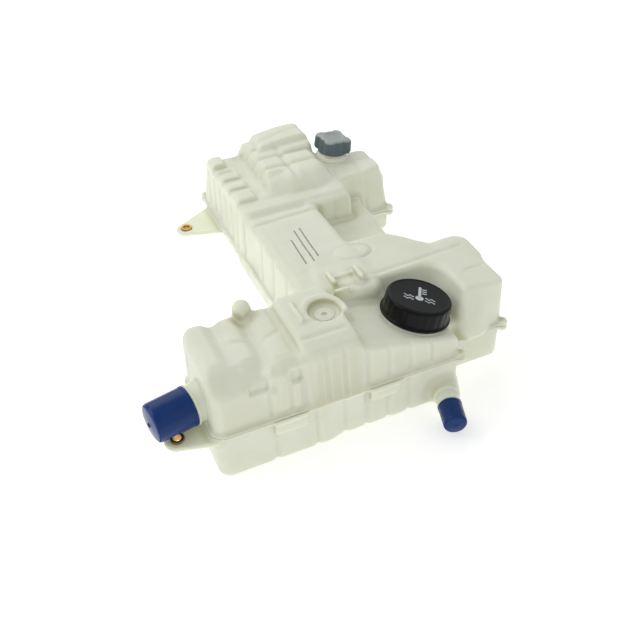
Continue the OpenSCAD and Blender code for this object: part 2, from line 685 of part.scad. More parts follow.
module cap_bore_ring() {
    color([0.12, 0.12, 0.12]) placed() at_neck() translate([0, 0, ring_z]) rotate_extrude() difference() {
        translate([neck_in - ring_r - 0.05, 0]) circle(r = ring_r, $fn = 32);
        translate([body_r - 0.8 * ring_r - 10, -5]) square([10, 10]);
    }
}
// Plate pressed into the valve body, which carries the spring's upper end
module spring_holder() {
    color([0.72, 0.73, 0.74]) placed() at_neck() translate([0, 0, holder_z]) difference() {
        cylinder(r = body_in, h = holder_t);
        for (i = [0:3]) rotate(90 * i + 45) translate([body_in * 0.7, 0, -eps])
            cylinder(r = 2.5, h = holder_t + 2 * eps);
        translate([0, 0, -eps]) cylinder(r = stem_head_r + 1, h = holder_t + 2 * eps);
    }
}
// A helix with flattened section, swept as one closed solid
function coil_point(r, pitch, a) = [r * cos(a), r * sin(a), pitch * a / 360];
module coil(r, wire, height, turns) {
    sides = 6;
    rings = ceil(turns * 10);
    pitch = (height - 2 * wire) / turns;
    pts = [for (i = [0:rings], j = [0:sides - 1]) let (
            a = 360 * turns * i / rings,
            b = 360 * j / sides,
            c = coil_point(r, pitch, a)
        ) [c[0] + wire * cos(b) * cos(a), c[1] + wire * cos(b) * sin(a), c[2] + wire * sin(b)]];
    walls = [for (i = [0:rings - 1], j = [0:sides - 1])
        [i * sides + j, i * sides + (j + 1) % sides, (i + 1) * sides + (j + 1) % sides, (i + 1) * sides + j]];
    polyhedron(pts, concat(walls, [[for (j = [sides - 1:-1:0]) j], [for (j = [0:sides - 1]) rings * sides + j]]));
}
module pressure_spring() {
    color([0.75, 0.76, 0.78]) placed() at_neck() translate([0, 0, plate_z + plate_t + wire_r + clearance])
        coil(plate_r - wire_r - 1.5, wire_r, spring_h - 2 * clearance, 4);
}
module pressure_valve_plate() {
    color([0.78, 0.79, 0.80]) placed() at_neck() translate([0, 0, plate_z]) difference() {
        union() {
            cylinder(r = plate_r, h = plate_t);
            cylinder(r = stem_r + 2.2, h = plate_t + 1);
        }
        translate([0, 0, -eps]) cylinder(r = stem_r + 0.2, h = cut);
    }
}
module vacuum_valve() {
    color([0.80, 0.65, 0.35]) placed() at_neck() translate([0, 0, plate_z]) {
        translate([0, 0, -valve_t]) cylinder(r = valve_r, h = valve_t);
        translate([0, 0, -valve_t]) cylinder(r = stem_r, h = valve_t + stem_h);
        translate([0, 0, stem_h]) cylinder(r = stem_head_r, h = 1.2);
    }
}
module vacuum_spring() {
    color([0.75, 0.76, 0.78]) placed() at_neck() translate([0, 0, plate_z + plate_t + 1 + thin_wire + 0.1])
        coil(stem_r + 1.2, thin_wire, stem_h - plate_t - 1 - 0.2, 4);
}

module filler_cap_shell() {
    lobe_round = 6;
    lobe_turn = 50; // one lobe points back and to the right
    color([0.50, 0.54, 0.57]) placed() at_filler() difference() {
        union() {
            cylinder(r = filler_r + clearance + 2.4, h = filler_cap_h - 1);
            for (i = [0:lobes - 1]) rotate(360 * i / lobes + lobe_turn) {
                translate([lobe_r - lobe_round, 0, 2]) cylinder(r = lobe_round, h = filler_cap_h - 2);
                translate([0, -lobe_round, 2]) cube([lobe_r - lobe_round, 2 * lobe_round, filler_cap_h - 2]);
            }
        }
        translate([0, 0, -eps]) cylinder(r = filler_r + clearance, h = filler_cap_h - filler_top_t + eps);
        translate([0, 0, filler_cap_h - 1.2]) cylinder(r = 11, h = 5);
    }
}
module filler_cap_plug() {
    color([0.2, 0.2, 0.21]) placed() at_filler() difference() {
        union() {
            translate([0, 0, filler_rim + seal_t]) cylinder(r = filler_r - 0.5, h = plug_flange_t);
            translate([0, 0, filler_rim - plug_h]) cylinder(r = plug_r, h = plug_h + seal_t + eps);
        }
        translate([0, 0, filler_rim - plug_h - eps]) cylinder(r = plug_r - plug_wall, h = plug_h);
    }
}
module filler_cap_seal() {
    color([0.1, 0.1, 0.1]) placed() at_filler() translate([0, 0, filler_rim]) difference() {
        cylinder(r = filler_r - 0.6, h = seal_t);
        translate([0, 0, -eps]) cylinder(r = filler_in + 0.2, h = seal_t + 2 * eps);
    }
}

// A thin push-on cap over a hose neck, with the moulding pip on its end
module transit_cap(neck_rad, cap_rad, length, cover) {
    translate([0, 0, length - cover]) difference() {
        cylinder(r = cap_rad, h = cover + transit_wall);
        translate([0, 0, -eps]) cylinder(r = neck_rad + clearance / 2, h = cover + eps);
    }
    translate([0, 0, length + transit_wall - eps]) cylinder(r = pip_r, h = pip_h + eps);
}
module large_transit_cap() {
    color([0.08, 0.18, 0.45]) placed() at_large() transit_cap(large_r, large_cap_r, large_l, large_cover);
}
module small_transit_cap() {
    color([0.08, 0.18, 0.45]) placed() at_small() transit_cap(small_r, small_cap_r, small_l, small_cover);
}

module ear_bush(p) {
    color([0.76, 0.60, 0.36]) placed() translate([p[0], p[1], ear_top - ear_t / 2 - bush_l / 2]) difference() {
        cylinder(r = bush_r, h = bush_l);
        translate([0, 0, -eps]) cylinder(r = bush_bore, h = bush_l + 2 * eps);
    }
}
module front_ear_bush() ear_bush(front_ear);
module rear_ear_bush() ear_bush(rear_ear);

// Ring float that rides on the sensor well, with a magnet ring let into its top
module level_float() {
    color([0.85, 0.84, 0.78]) placed() translate([well_x, well_y, float_z]) difference() {
        cylinder(r = float_r, h = float_h);
        translate([0, 0, -eps]) cylinder(r = float_in, h = float_h + 2 * eps);
        translate([0, 0, float_h - magnet_t]) difference() {
            cylinder(r = magnet_out, h = magnet_t + eps);
            translate([0, 0, -eps]) cylinder(r = magnet_in, h = magnet_t + 3 * eps);
        }
    }
}
module float_magnet() {
    color([0.3, 0.3, 0.32]) placed() translate([well_x, well_y, float_z + float_h - magnet_t]) difference() {
        cylinder(r = magnet_out, h = magnet_t);
        translate([0, 0, -eps]) cylinder(r = magnet_in, h = magnet_t + 2 * eps);
    }
}
module float_retainer() {
    color([0.85, 0.85, 0.85]) placed() translate([well_x, well_y, retainer_z]) difference() {
        cylinder(r = well_r + 5, h = retainer_t);
        translate([0, 0, -eps]) cylinder(r = well_r - 1, h = retainer_t + 2 * eps);
        translate([0, -1, -eps]) cube([well_r + 6, 2, retainer_t + 2 * eps]);
    }
}

// Each half is one moulding. It is given in pieces that meet face to face, so that every chamber stays open where the
// walls are taken as simple blocks
end_cut_upper = pad_x - 8; // between the baffle and the pad
pad_cut = pad_right + 14; // past the baffle behind the pad
wing_cut_upper = wing_step_x - 4.5; // between the neck's root and the wing's step
end_cut_lower = pad_x + 2; // past the first lug
wing_cut_lower = pad_right + 48; // past the second lug
front_cut = wing_back + 8;
back_cut = shoulder_y - 11;
module from_to(x0, x1, y0, y1) intersection() {
    children();
    placed() translate([x0, y0, -1]) cube([x1 - x0, y1 - y0, cut]);
}
module upper_left_end() from_to(-cut, end_cut_upper, -cut, front_cut) upper_shell();
module upper_pad() from_to(end_cut_upper, pad_cut, -cut, front_cut) upper_shell();
module upper_deck() from_to(pad_cut, wing_cut_upper, -cut, front_cut) upper_shell();
module upper_wing() from_to(wing_cut_upper, 2 * cut, -cut, front_cut) upper_shell();
module upper_bridge() from_to(-cut, 2 * cut, front_cut, back_cut) upper_shell();
module upper_back() from_to(-cut, 2 * cut, back_cut, 2 * cut) upper_shell();
module lower_left_end() from_to(-cut, end_cut_lower, -cut, front_cut) lower_shell();
module lower_front() from_to(end_cut_lower, wing_cut_lower, -cut, front_cut) lower_shell();
module lower_wing() from_to(wing_cut_lower, 2 * cut, -cut, front_cut) lower_shell();
module lower_bridge() from_to(-cut, 2 * cut, front_cut, back_cut) lower_shell();
module lower_back() from_to(-cut, 2 * cut, back_cut, 2 * cut) lower_shell();

upper_left_end();
upper_pad();
upper_deck();
upper_wing();
upper_bridge();
upper_back();
lower_left_end();
lower_front();
lower_wing();
lower_bridge();
lower_back();
pressure_cap_shell();
cap_valve_body();
cap_neck_seal();
cap_bore_ring();
spring_holder();
pressure_spring();
pressure_valve_plate();
vacuum_valve();
vacuum_spring();
filler_cap_shell();
filler_cap_plug();
filler_cap_seal();
large_transit_cap();
small_transit_cap();
front_ear_bush();
rear_ear_bush();
level_float();
float_magnet();
float_retainer();
sensor_tube();
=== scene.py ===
import math
from functools import reduce
import bpy
import numpy as np
from mathutils import Matrix, Vector


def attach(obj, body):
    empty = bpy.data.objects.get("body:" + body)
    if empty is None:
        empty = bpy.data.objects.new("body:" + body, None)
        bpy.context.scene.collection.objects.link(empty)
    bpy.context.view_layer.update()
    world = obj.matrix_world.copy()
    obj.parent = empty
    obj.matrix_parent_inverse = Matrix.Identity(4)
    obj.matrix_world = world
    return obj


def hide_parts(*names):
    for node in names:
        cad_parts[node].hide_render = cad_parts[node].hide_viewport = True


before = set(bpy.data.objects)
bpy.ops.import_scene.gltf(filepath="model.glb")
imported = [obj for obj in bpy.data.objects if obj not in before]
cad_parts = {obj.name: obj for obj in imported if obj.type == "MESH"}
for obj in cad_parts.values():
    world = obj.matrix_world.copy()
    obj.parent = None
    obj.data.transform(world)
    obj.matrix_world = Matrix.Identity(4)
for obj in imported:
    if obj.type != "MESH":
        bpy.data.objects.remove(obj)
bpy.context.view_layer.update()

mm = 0.001
wallCorner = (-139.098, -187.721)  # the tank's drawing starts at the bar's front left corner, in millimetres


def smooth(value, start, stop):  # 0 before start, 1 after stop, an S curve between
    t = np.clip((value - start) / (stop - start), 0, 1)
    return t * t * (3 - 2 * t)


def softBox(x, y, x0, x1, y0, y1, soft):  # 1 inside a rectangle, falling to 0 over soft on every side
    return (smooth(x, x0, x0 + soft) * (1 - smooth(x, x1 - soft, x1))
            * smooth(y, y0, y0 + soft) * (1 - smooth(y, y1 - soft, y1)))


def band(value, start, stop, soft):  # 1 between start and stop
    return smooth(value, start, start + soft) * (1 - smooth(value, stop - soft, stop))


def line(value, centre, halfWidth):  # a bell of height 1 round a centre
    return np.exp(-((value - centre) / halfWidth) ** 2)


def rows(value, centres, halfWidth):  # the same bell at several places
    return sum(line(value, centre, halfWidth) for centre in centres)


# Relief on a wall or a top. A pad's row holds its height, its first and last place along both axes, and its softness
def pads(x, y, table):
    return sum(height * softBox(x, y, x0, x1, y0, y1, soft) for height, x0, x1, y0, y1, soft in table)


# A valley's row holds its depth, place, half width, start, end and the softness of its ends. It runs along one axis.
# A last value, where there is one, is how far it drifts across for each millimetre from its start
def valleys(across, along, table):
    return sum(cavityShade * line(across, place + sum(drift) * (along - start), halfWidth) * band(along, start, stop, soft)
               for cavityShade, place, halfWidth, start, stop, soft, *drift in table)


# Distance to a rectangle with round corners: past the straight sides it is the length of the corner offset
def rectPlan(x, y, x0, x1, y0, y1, radius):
    dx = np.abs(x - (x0 + x1) / 2) - (x1 - x0) / 2 + radius
    dy = np.abs(y - (y0 + y1) / 2) - (y1 - y0) / 2 + radius
    return np.hypot(np.maximum(dx, 0), np.maximum(dy, 0)) + np.minimum(np.maximum(dx, dy), 0) - radius


# Distance to a polygon: the nearest side, with a sign from how often a ray to the right crosses the outline
def polygonPlan(x, y, points):
    x, y = np.broadcast_arrays(x, y)
    nearest = np.full(x.shape, 1e9)
    inside = np.zeros(x.shape, bool)
    for (ax, ay), (bx, by) in zip(points, points[1:] + points[:1]):
        ex, ey = bx - ax, by - ay
        t = np.clip(((x - ax) * ex + (y - ay) * ey) / (ex * ex + ey * ey), 0, 1)
        nearest = np.minimum(nearest, np.hypot(x - ax - t * ex, y - ay - t * ey))
        crosses = (ay > y) != (by > y)
        inside ^= crosses & (x < ax + (y - ay) * ex / (ey if ey else 1e-9))
    return np.where(inside, -nearest, nearest)


def least(*fields):  # the smallest of several distances
    return reduce(np.minimum, fields)


def join(a, b, fillet):  # the smaller of two distances, with a fillet where they are nearly equal
    h = np.clip(0.5 + 0.5 * (b - a) / fillet, 0, 1)
    return b + (a - b) * h - fillet * h * (1 - h)


def meet(a, b, radius):  # the larger of two distances, with the edge between them rounded
    return (np.hypot(np.maximum(a + radius, 0), np.maximum(b + radius, 0))
            + np.minimum(np.maximum(a, b) + radius, 0) - radius)


# Distance to a round bar from one point to another: the distance to its axis less the radius, met with its ends
def rodField(x, y, z, start, stop, radius, edge=1.0):
    start, stop = np.array(start, float), np.array(stop, float)
    length = np.linalg.norm(stop - start)
    axis = (stop - start) / length
    dx, dy, dz = x - start[0], y - start[1], z - start[2]
    along = dx * axis[0] + dy * axis[1] + dz * axis[2]
    across = np.sqrt(np.maximum(dx * dx + dy * dy + dz * dz - along * along, 0)) - radius
    return meet(across, np.abs(along - length / 2) - length / 2, edge)


# Distance to a block with round edges: a rounded plan met with its top and bottom
def blockField(x, y, z, low, high, corner, edge):
    return meet(rectPlan(x, y, low[0], high[0], low[1], high[1], corner),
                np.abs(z - (low[2] + high[2]) / 2) - (high[2] - low[2]) / 2, edge)


# Surface net: every grid cell that the zero level crosses gets one vertex, at the mean of the crossings on its
# twelve edges, and every grid edge that crosses it gets one face through the four cells round that edge
def surfaceNet(field, low, step):
    inside = field < 0
    corners = np.array([(i, j, k) for i in (0, 1) for j in (0, 1) for k in (0, 1)])
    size = np.array(field.shape) - 1
    count = sum(inside[i:i + size[0], j:j + size[1], k:k + size[2]].astype(np.int8) for i, j, k in corners)
    active = (count > 0) & (count < 8)
    cells = np.argwhere(active)
    index = np.full(active.shape, -1, np.int64)
    index[active] = np.arange(len(cells))
    total, hits = np.zeros((len(cells), 3)), np.zeros(len(cells))
    for a in corners:
        for axis in range(3):
            if a[axis]:
                continue
            b = a.copy()
            b[axis] = 1
            fa, fb = field[tuple((cells + a).T)], field[tuple((cells + b).T)]
            crossed = (fa < 0) != (fb < 0)
            t = np.where(crossed, fa / np.where(crossed, fa - fb, 1), 0)
            total += crossed[:, None] * (a + t[:, None] * (b - a))
            hits += crossed
    verts = np.array(low) + (cells + total / hits[:, None]) * step
    faces = []
    for axis in range(3):
        u, v = (axis + 1) % 3, (axis + 2) % 3
        near = [slice(None)] * 3
        far = [slice(None)] * 3
        near[axis], far[axis] = slice(0, -1), slice(1, None)
        near, far = inside[tuple(near)], inside[tuple(far)]
        for flip in (False, True):
            edges = np.argwhere(far & ~near if flip else near & ~far)
            edges = edges[(edges[:, u] > 0) & (edges[:, v] > 0) & (edges[:, u] < size[u]) & (edges[:, v] < size[v])]
            ring = []
            for du, dv in ((0, 0), (-1, 0), (-1, -1), (0, -1)):
                cell = edges.copy()
                cell[:, u] += du
                cell[:, v] += dv
                ring.append(index[tuple(cell.T)])
            quad = np.stack(ring, 1)
            faces.append(quad[:, ::-1] if flip else quad)
    return verts, np.concatenate(faces)


# Value of a grid field at any points: the eight corners round each point, weighed by how near they are
def sampleField(field, low, step, points):
    g = np.clip((points - np.array(low)) / step, 0, np.array(field.shape) - 1.001)
    i = g.astype(int)
    f = g - i
    value = np.zeros(len(points))
    for a in (0, 1):
        for b in (0, 1):
            for c in (0, 1):
                w = np.abs(1 - a - f[:, 0]) * np.abs(1 - b - f[:, 1]) * np.abs(1 - c - f[:, 2])
                value += w * field[i[:, 0] + a, i[:, 1] + b, i[:, 2] + c]
    return value


# Places are in drawing millimetres, faces are an array of four corners each. A face whose first or last two corners
# are one and the same, at a pole, becomes a triangle, and points that no face uses are left out
def makeObject(name, verts, faces, smoothFaces=True):
    faces = np.asarray(faces)
    start, end = faces[:, 0] == faces[:, 1], faces[:, 2] == faces[:, 3]
    parts = [faces[~start & ~end], faces[start & ~end][:, 1:], faces[end & ~start][:, :3]]
    used = np.unique(np.concatenate([part.ravel() for part in parts]))
    number = np.zeros(len(verts), int)
    number[used] = np.arange(len(used))
    mesh = bpy.data.meshes.new(name)
    placed = (np.asarray(verts, float)[used] + (*wallCorner, 0)) * mm
    mesh.from_pydata(placed.tolist(), [], [face for part in parts for face in number[part].tolist()])
    mesh.validate()
    mesh.update()
    mesh.polygons.foreach_set("use_smooth", np.full(len(mesh.polygons), smoothFaces))
    piece = bpy.data.objects.new(name, mesh)
    bpy.context.collection.objects.link(piece)
    return piece


# Grid of points (i, j) as quads; the loop closes along j, and along i if asked
def gridFaces(rowsCount, columns, closeRows=False):
    i, j = np.meshgrid(np.arange(rowsCount if closeRows else rowsCount - 1), np.arange(columns), indexing="ij")
    a = i * columns + j
    b = i * columns + (j + 1) % columns
    c = (i + 1) % rowsCount * columns + (j + 1) % columns
    d = (i + 1) % rowsCount * columns + j
    return np.stack([a, b, c, d], -1).reshape(-1, 4)


def axisFrame(axis):  # two directions square to an axis
    axis = np.array(axis, float) / np.linalg.norm(axis)
    side = np.cross((0, 1, 0) if abs(axis[1]) < 0.9 else (1, 0, 0), axis)
    side /= np.linalg.norm(side)
    return side, np.cross(axis, side), axis


# Round the corners of a profile: each corner is replaced by points of the quadratic curve through its neighbours
def softProfile(points, steps=5):
    out = []
    count = len(points)
    for k in range(count):
        p = np.array(points[k][:2], float)
        r = points[k][2] if len(points[k]) > 2 else 0
        if not r:
            out.append(p)
            continue
        a, b = np.array(points[k - 1][:2], float), np.array(points[(k + 1) % count][:2], float)
        pa = p + (a - p) * min(0.5, r / np.linalg.norm(a - p))
        pb = p + (b - p) * min(0.5, r / np.linalg.norm(b - p))
        t = np.linspace(0, 1, steps)[:, None]
        out.extend(pa * (1 - t) ** 2 + 2 * p * t * (1 - t) + pb * t ** 2)
    return np.array(out)


# A closed profile of (radius, height) carried round an axis; grow(angle, radius, height) may change the radius
def turned(name, profile, foot, axis, segments=96, grow=None, steps=5):
    side, across, axis = axisFrame(axis)
    flat = softProfile(profile, steps)
    angle = np.linspace(0, 2 * math.pi, segments, endpoint=False)[None, :]
    radius, height = flat[:, :1] + 0 * angle, flat[:, 1:] + 0 * angle
    if grow:
        radius = grow(angle, radius, height)
    outward = np.cos(angle)[..., None] * side + np.sin(angle)[..., None] * across
    points = np.array(foot, float) + radius[..., None] * outward + height[..., None] * axis
    area = np.sum(flat[:, 0] * np.roll(flat[:, 1], -1) - np.roll(flat[:, 0], -1) * flat[:, 1])
    index = np.arange(len(flat) * segments).reshape(len(flat), segments)
    onAxis = flat[:, 0] < 1e-6
    index[onAxis] = index[onAxis][:, :1]  # one point for a whole ring of no radius
    faces = index.ravel()[gridFaces(len(flat), segments, closeRows=True)]
    return makeObject(name, points.reshape(-1, 3), faces if area > 0 else faces[:, ::-1])


print("tank body")
weld = 60.0
body = {
    "gridStep": 1.5, "upperGrid": ((-10, -10, 57), (340, 442, 168)),
    "lowerGrid": ((-50, -52, -3), (340, 442, 76)), "depthReach": 14,
    "upperLean": 2 / 58, "lowerLean": 4 / 60, "backLean": 0.36, "fillet": 6,
    "deckStart": 157, "deckTop": 110, "deckSlope": math.tan(math.radians(14)), "shelfTop": 80, "blockTop": 138,
    "domeTop": 148.8, "flangeOut": 3.6, "flangeHalf": 2.6,
    "frontGrooves": (57, 78, 101, 116, 134, 159, 182, 206, 230), "lowerGrooves": (59, 103, 134, 158, 182, 206),
    "leftGrooves": (22, 76), "padGrooves": (115, 134), "wingGrooves": (62, 86),
    "wallGrooves": (132, 170, 205, 262, 284, 306, 328, 350, 372, 394), "grooveDepth": 1.9, "grooveHalf": 2.4,
    "blockRows": (324, 350, 375), "blockColumn": 211, "lugs": (58, 160),
    "knobs": ((263.5, -0.5), (329.5, 24.5), (329.5, 117), (329.5, 283), (329.5, 347), (127, 424)),
    "ears": (((-31, 21), (3.5, -2.5), (3.5, 48)), ((83, 367), (129.5, 409), (129.5, 339))),
    "earRadius": 13, "earHole": 6.4,
}
plans = {  # x from and to, y from and to, and the corners' radius
    "bar": (0, 262, 0, 98, 13), "barRight": (60, 262, 0, 98, 5), "pad": (93, 156, 1, 96, 12),
    "wing": (236, 330, 25, 117, 10), "raisedWing": (276, 330, 25, 117, 10), "lowWing": (236, 300, 25, 117, 8),
    "bridge": (126, 218, 74, 306, 15), "shelf": (188, 289.5, 97, 306, 6), "back": (126, 266, 257, 427, 13),
    "shoulder": (200, 265, 248, 360, 6), "side": (236, 330, 284, 348, 7), "sideBack": (236, 299, 284, 367, 8),
    "block": (172, 256, 276, 410, 8), "dome": (189, 256, 350, 407, 10), "sump": (156, 254, 339, 421, 15),
}
ridgeCorners = [(143, 84.5), (326, 84.5), (328, 110), (322, 117), (294, 122), (272, 151), (258, 164), (198, 166),
                (166, 166)]
# The tops' heights and their relief, as the functions pads and valleys read it
tops = {
    "left": {"height": 119.5,
             "pads": ((4.5, 0, 32, 20, 104, 13), (2.0, 34, 60, 14, 104, 9), (1.2, 65, 92, 14, 100, 8)),
             "alongX": ((1.5, 57.25, 3, 34, 60, 6, -0.25), (1.4, 45.7, 3, 65, 92, 6, 0.3)),
             "alongY": ((2.6, 33, 7, 64, 104, 9), (3.6, 62.5, 6.5, -6, 100, 12))},
    "pad": {"height": 129, "alongX": ((1.5, 22, 2.5, 96, 150, 8),)},
    "ridge": {"height": 117.8, "alongX": ((1.8, 95.8, 2.4, 196, 326, 8, 0.05), (1.5, 60, 2.2, 296, 327, 8))},
    "bridge": {"height": 118,
               "pads": ((-1.6, 122, 138, 110, 240, 7), (-1.2, 124, 216, 250, 268, 5), (0.8, 140, 214, 130, 238, 7)),
               "alongX": ((2.0, 238.9, 2.6, 128, 218, 8, 0.05),)},
    "back": {"height": 122,  # short pads stand like a ladder's rungs along the left edge
             "pads": ((5.5, 124, 157, 283, 310, 4.5), (4, 124, 158, 316, 335, 4.5), (4, 124, 157, 340, 358, 4.5),
                      (3, 124, 152, 363, 371, 4.5), (6.5, 124, 150, 375, 406, 4.5)),
             "alongX": ((1.6, 283, 4, 160, 236, 10),), "alongY": ((1.6, 165, 7, 292, 402, 8),)},
    "side": {"height": 119.5, "pads": ((1.2, 300, 328, 290, 320, 6),), "alongX": ((1.6, 322, 3.4, 250, 330, 8),),
             "alongY": ((1.4, 297, 3.4, 288, 352, 8),)},
}
frontPads = ((-4.2, 37, 60, 97, 112, 3.2), (-4.2, 79, 93, 96, 113, 3.2), (1.1, 64, 91, 66, 104, 5),
             (1.1, 97, 133, 60, 122, 6))  # pockets and panels, across and up the front wall
frontValleys = ((2.6, 62.5, 4.5, 90, 122, 8), (2.2, 93, 4, 64, 122, 3))  # broad grooves up the front wall
fittings = {
    "post": ((66, 93, 80), (66, 94, 135), 9.4, 8.8), "backKnob": ((179, 393, 110), (179, 393, 134), 7, 6),
    "plates": (((108.5, 43, 116), (112.5, 76, 132.5), 2, 1.7), ((160, 78, 104), (178, 82, 125), 2, 1.6),
               ((165, 92, 108), (170, 114, 126), 2, 1.8), ((194, 88, 106), (199, 110, 127), 2, 1.8),
               ((166, 104, 106), (198, 108, 122.5), 1.6, 1.5)),
    "dishPlace": (137, 52), "dishRim": 21, "dishRimHalf": 2.6, "dishRimTop": 128.5, "bowl": 16.6, "bowlFloor": 124,
    "seat": 10.1, "seatFloor": 122.5, "floatPit": 22, "floatPitHalf": 52,
}
neckAxis = (math.sin(math.radians(14)), 0, math.cos(math.radians(14)))
neckRim = np.array((0.092902 / mm - wallCorner[0], -0.145721 / mm - wallCorner[1], 0.097122 / mm))
fillerRim = np.array((0.140598 / mm - wallCorner[0], 0.157279 / mm - wallCorner[1], 0.126951 / mm))
fillerAxis = (math.sin(math.radians(8)), 0, math.cos(math.radians(8)))
largeRoot = np.array((0, 39, 78))
largeAxis = np.array((-math.cos(math.radians(11)), -math.sin(math.radians(11)), 0))
smallRoot = np.array((247, 0, 20))
smallAxis = np.array((-math.sin(math.radians(18)), -math.cos(math.radians(18)), 0))


def planOf(x, y, *names):  # distance to one plan, or to several taken together
    return least(*[rectPlan(x, y, *plans[name]) for name in names])


def topMap(x, y, name):
    top = tops[name]
    return (top["height"] + pads(x, y, top.get("pads", ())) - valleys(y, x, top.get("alongX", ()))
            - valleys(x, y, top.get("alongY", ())))


def dishReach(x, y):
    return np.hypot(x - fittings["dishPlace"][0], y - fittings["dishPlace"][1])


# Weld flange: a low slab round every chamber's plan, with the line of the weld along its edge and upright knobs at
# its corners
def flangeField(x, y, z):
    b = body
    outline = planOf(x, y, "bar", "barRight", "wing", "bridge", "shelf", "back", "side", "sideBack") - b["flangeOut"]
    slab = meet(outline, np.abs(z - weld) - b["flangeHalf"], 1.6)
    bead = np.hypot(np.maximum(outline + 1.2, -3), z - weld) - 1.5
    knobs = least(*[rodField(x, y, z, (kx, ky, weld - 7), (kx, ky, weld + 7), 5.2, 3.5) for kx, ky in b["knobs"]])
    return join(np.minimum(slab, bead), knobs, 4)


# Upper half: towers joined with fillets. A tower is its plan, leaning in as it rises, met with its top, whose height
# is a map over the plan. The last value of meet is the edge's radius and that of join the fillet's
def upperField(x, y, z):
    b = body
    rise = z - weld
    lean = b["upperLean"] * rise
    deck = b["deckTop"] - (x - b["deckStart"]) * b["deckSlope"]
    barTop = topMap(x, y, "left") + (deck - 118) * smooth(x, 149, 158)
    chamfer = (13.5 * np.clip(1 - y / (19 + 0.22 * x), 0, 1) * band(x, -14, 64, 12)
               + 7 * np.clip(1 - y / 14, 0, 1) * band(x, 62, 94, 6))
    frontWall = 1 - smooth(y, 4, 14)
    grooves = b["grooveDepth"] * rows(x, b["frontGrooves"], b["grooveHalf"]) * band(rise, 4, 62, 3)
    front = (grooves + valleys(x, z, frontValleys) - pads(x, z, frontPads)) * frontWall
    left = 1.6 * rows(y, b["leftGrooves"], b["grooveHalf"]) * (1 - smooth(x, 3, 14)) * band(rise, 6, 48, 4)
    bodyField = meet(planOf(x, y, "bar", "barRight") + lean + front + left, z - barTop + chamfer, 6.5)

    padTop = topMap(x, y, "pad") - 4.5 * smooth(30 - y, 0, 28)
    padWall = 1.6 * rows(x, b["padGrooves"], b["grooveHalf"]) * (1 - smooth(y, 6, 14))
    bodyField = join(bodyField, meet(planOf(x, y, "pad") + lean + 0.09 * (z - 118) + padWall, z - padTop, 5), 6)

    # Ridge behind the deck and raised end of the wing, with a flat oval island
    around = np.hypot((x - 210) / 21, (y - 142) / 12.5)
    island = 1.5 * smooth(-around, -1.02, -0.86) - 1.2 * line(around, 1.1, 0.07)
    ridgeTop = topMap(x, y, "ridge") + island - 2.2 * line(x, 296, 10) * smooth(y, 104, 124)
    raised = join(polygonPlan(x, y, ridgeCorners), planOf(x, y, "raisedWing"), 26)
    wingWall = 1.3 * rows(y, b["wingGrooves"], b["grooveHalf"]) * smooth(x, 318, 326) * band(rise, 5, 50, 4)
    inward = 0.26 * (z - 96) * (1 - smooth(y, 86, 108)) * (1 - smooth(x, 296, 318))
    bodyField = join(bodyField, meet(raised + lean * 0.5 + inward + wingWall, z - ridgeTop, 4.8), 7)
    bodyField = join(bodyField, meet(planOf(x, y, "lowWing") + lean, z - (deck - 1), 5), 7)

    leftWall = 1 - smooth(x, 130, 140)
    wallGrooves = 2.0 * rows(y, b["wallGrooves"], 2.6) * leftWall * band(rise, 2, 56, 6) + line(y, 232, 16) * leftWall
    bridge = planOf(x, y, "bridge") + lean * 1.4 + wallGrooves
    bodyField = join(bodyField, meet(bridge, z - topMap(x, y, "bridge"), 8), b["fillet"])
    shelfTop = b["shelfTop"] + 6 * smooth(y, 216, 250) + 4 * smooth(-y, -166, -120)
    bodyField = join(bodyField, meet(planOf(x, y, "shelf") + lean, z - shelfTop, 6), 8)

    # Back box, whose back wall leans far in
    backEnd = plans["back"][3]
    backWall = (y - backEnd + b["backLean"] * np.maximum(rise, 0)) / math.hypot(1, b["backLean"])
    back = meet(planOf(x, y, "back") + lean * 1.2 + wallGrooves, backWall, 8)
    bodyField = join(bodyField, meet(back, z - topMap(x, y, "back"), 6.5), b["fillet"])
    sideTop = topMap(x, y, "side")
    sideLean = (0.2 * rise * (1 - smooth(y, 284, 302)) * smooth(x, 262, 280)
                + 0.5 * np.maximum(z - 101, 0) * smooth(x, 312, 330))
    sideWall = 1.4 * line(x, 299, 4) * (1 - smooth(y, 286, 300)) * band(rise, 2, 60, 4)
    shoulderWall = 1.3 * line(x, 240, 4) * (1 - smooth(y, 250, 260)) * band(rise, 4, 56, 4)
    shoulder = planOf(x, y, "shoulder") + lean * 0.6 + 0.05 * rise + shoulderWall
    bodyField = join(bodyField, meet(shoulder, z - sideTop + 0.5, 5.5), 4)
    side = planOf(x, y, "side", "sideBack") + lean * 0.4 + sideLean + sideWall
    bodyField = join(bodyField, meet(side, z - sideTop, 6), 5)

    # Raised block in two columns of pillows with a sloping front, and the boxy air dome on its back half
    rowLines, columnLine = rows(y, b["blockRows"], 3.8), line(x, b["blockColumn"], 3.8)
    block = planOf(x, y, "block") + 1.6 * rowLines + 1.3 * columnLine + 0.45 * np.maximum(z - 121, 0)
    frontFoot = 291 - 15.5 * smooth(x, 173, 206) + 9 * smooth(x, 232, 256)
    blockFront = (frontFoot + 1.5 * (z - 122) - y) / math.hypot(1, 1.5)
    frontLow = 3.5 * smooth(-x, -208, -196) * smooth(-y, -318, -308)  # the first pillow on the left is lower
    blockTop = b["blockTop"] - 3.0 * rowLines - 2.8 * columnLine - frontLow
    bodyField = join(bodyField, meet(meet(block, blockFront, 4), z - blockTop, 5), 3)
    dome = planOf(x, y, "dome") + rows(y, (378,), 3)
    domeTop = (b["domeTop"] - 4 * smooth(-x, -232, -192) - 7 * smooth(-y, -370, -362)
               - 1.4 * line(y, 384 + 0.15 * (x - 220), 3) - 1.6 * columnLine * (1 - smooth(y, 366, 376)))
    bodyField = join(bodyField, meet(dome + 0.2 * (z - 138), z - domeTop, 5.5), 4)

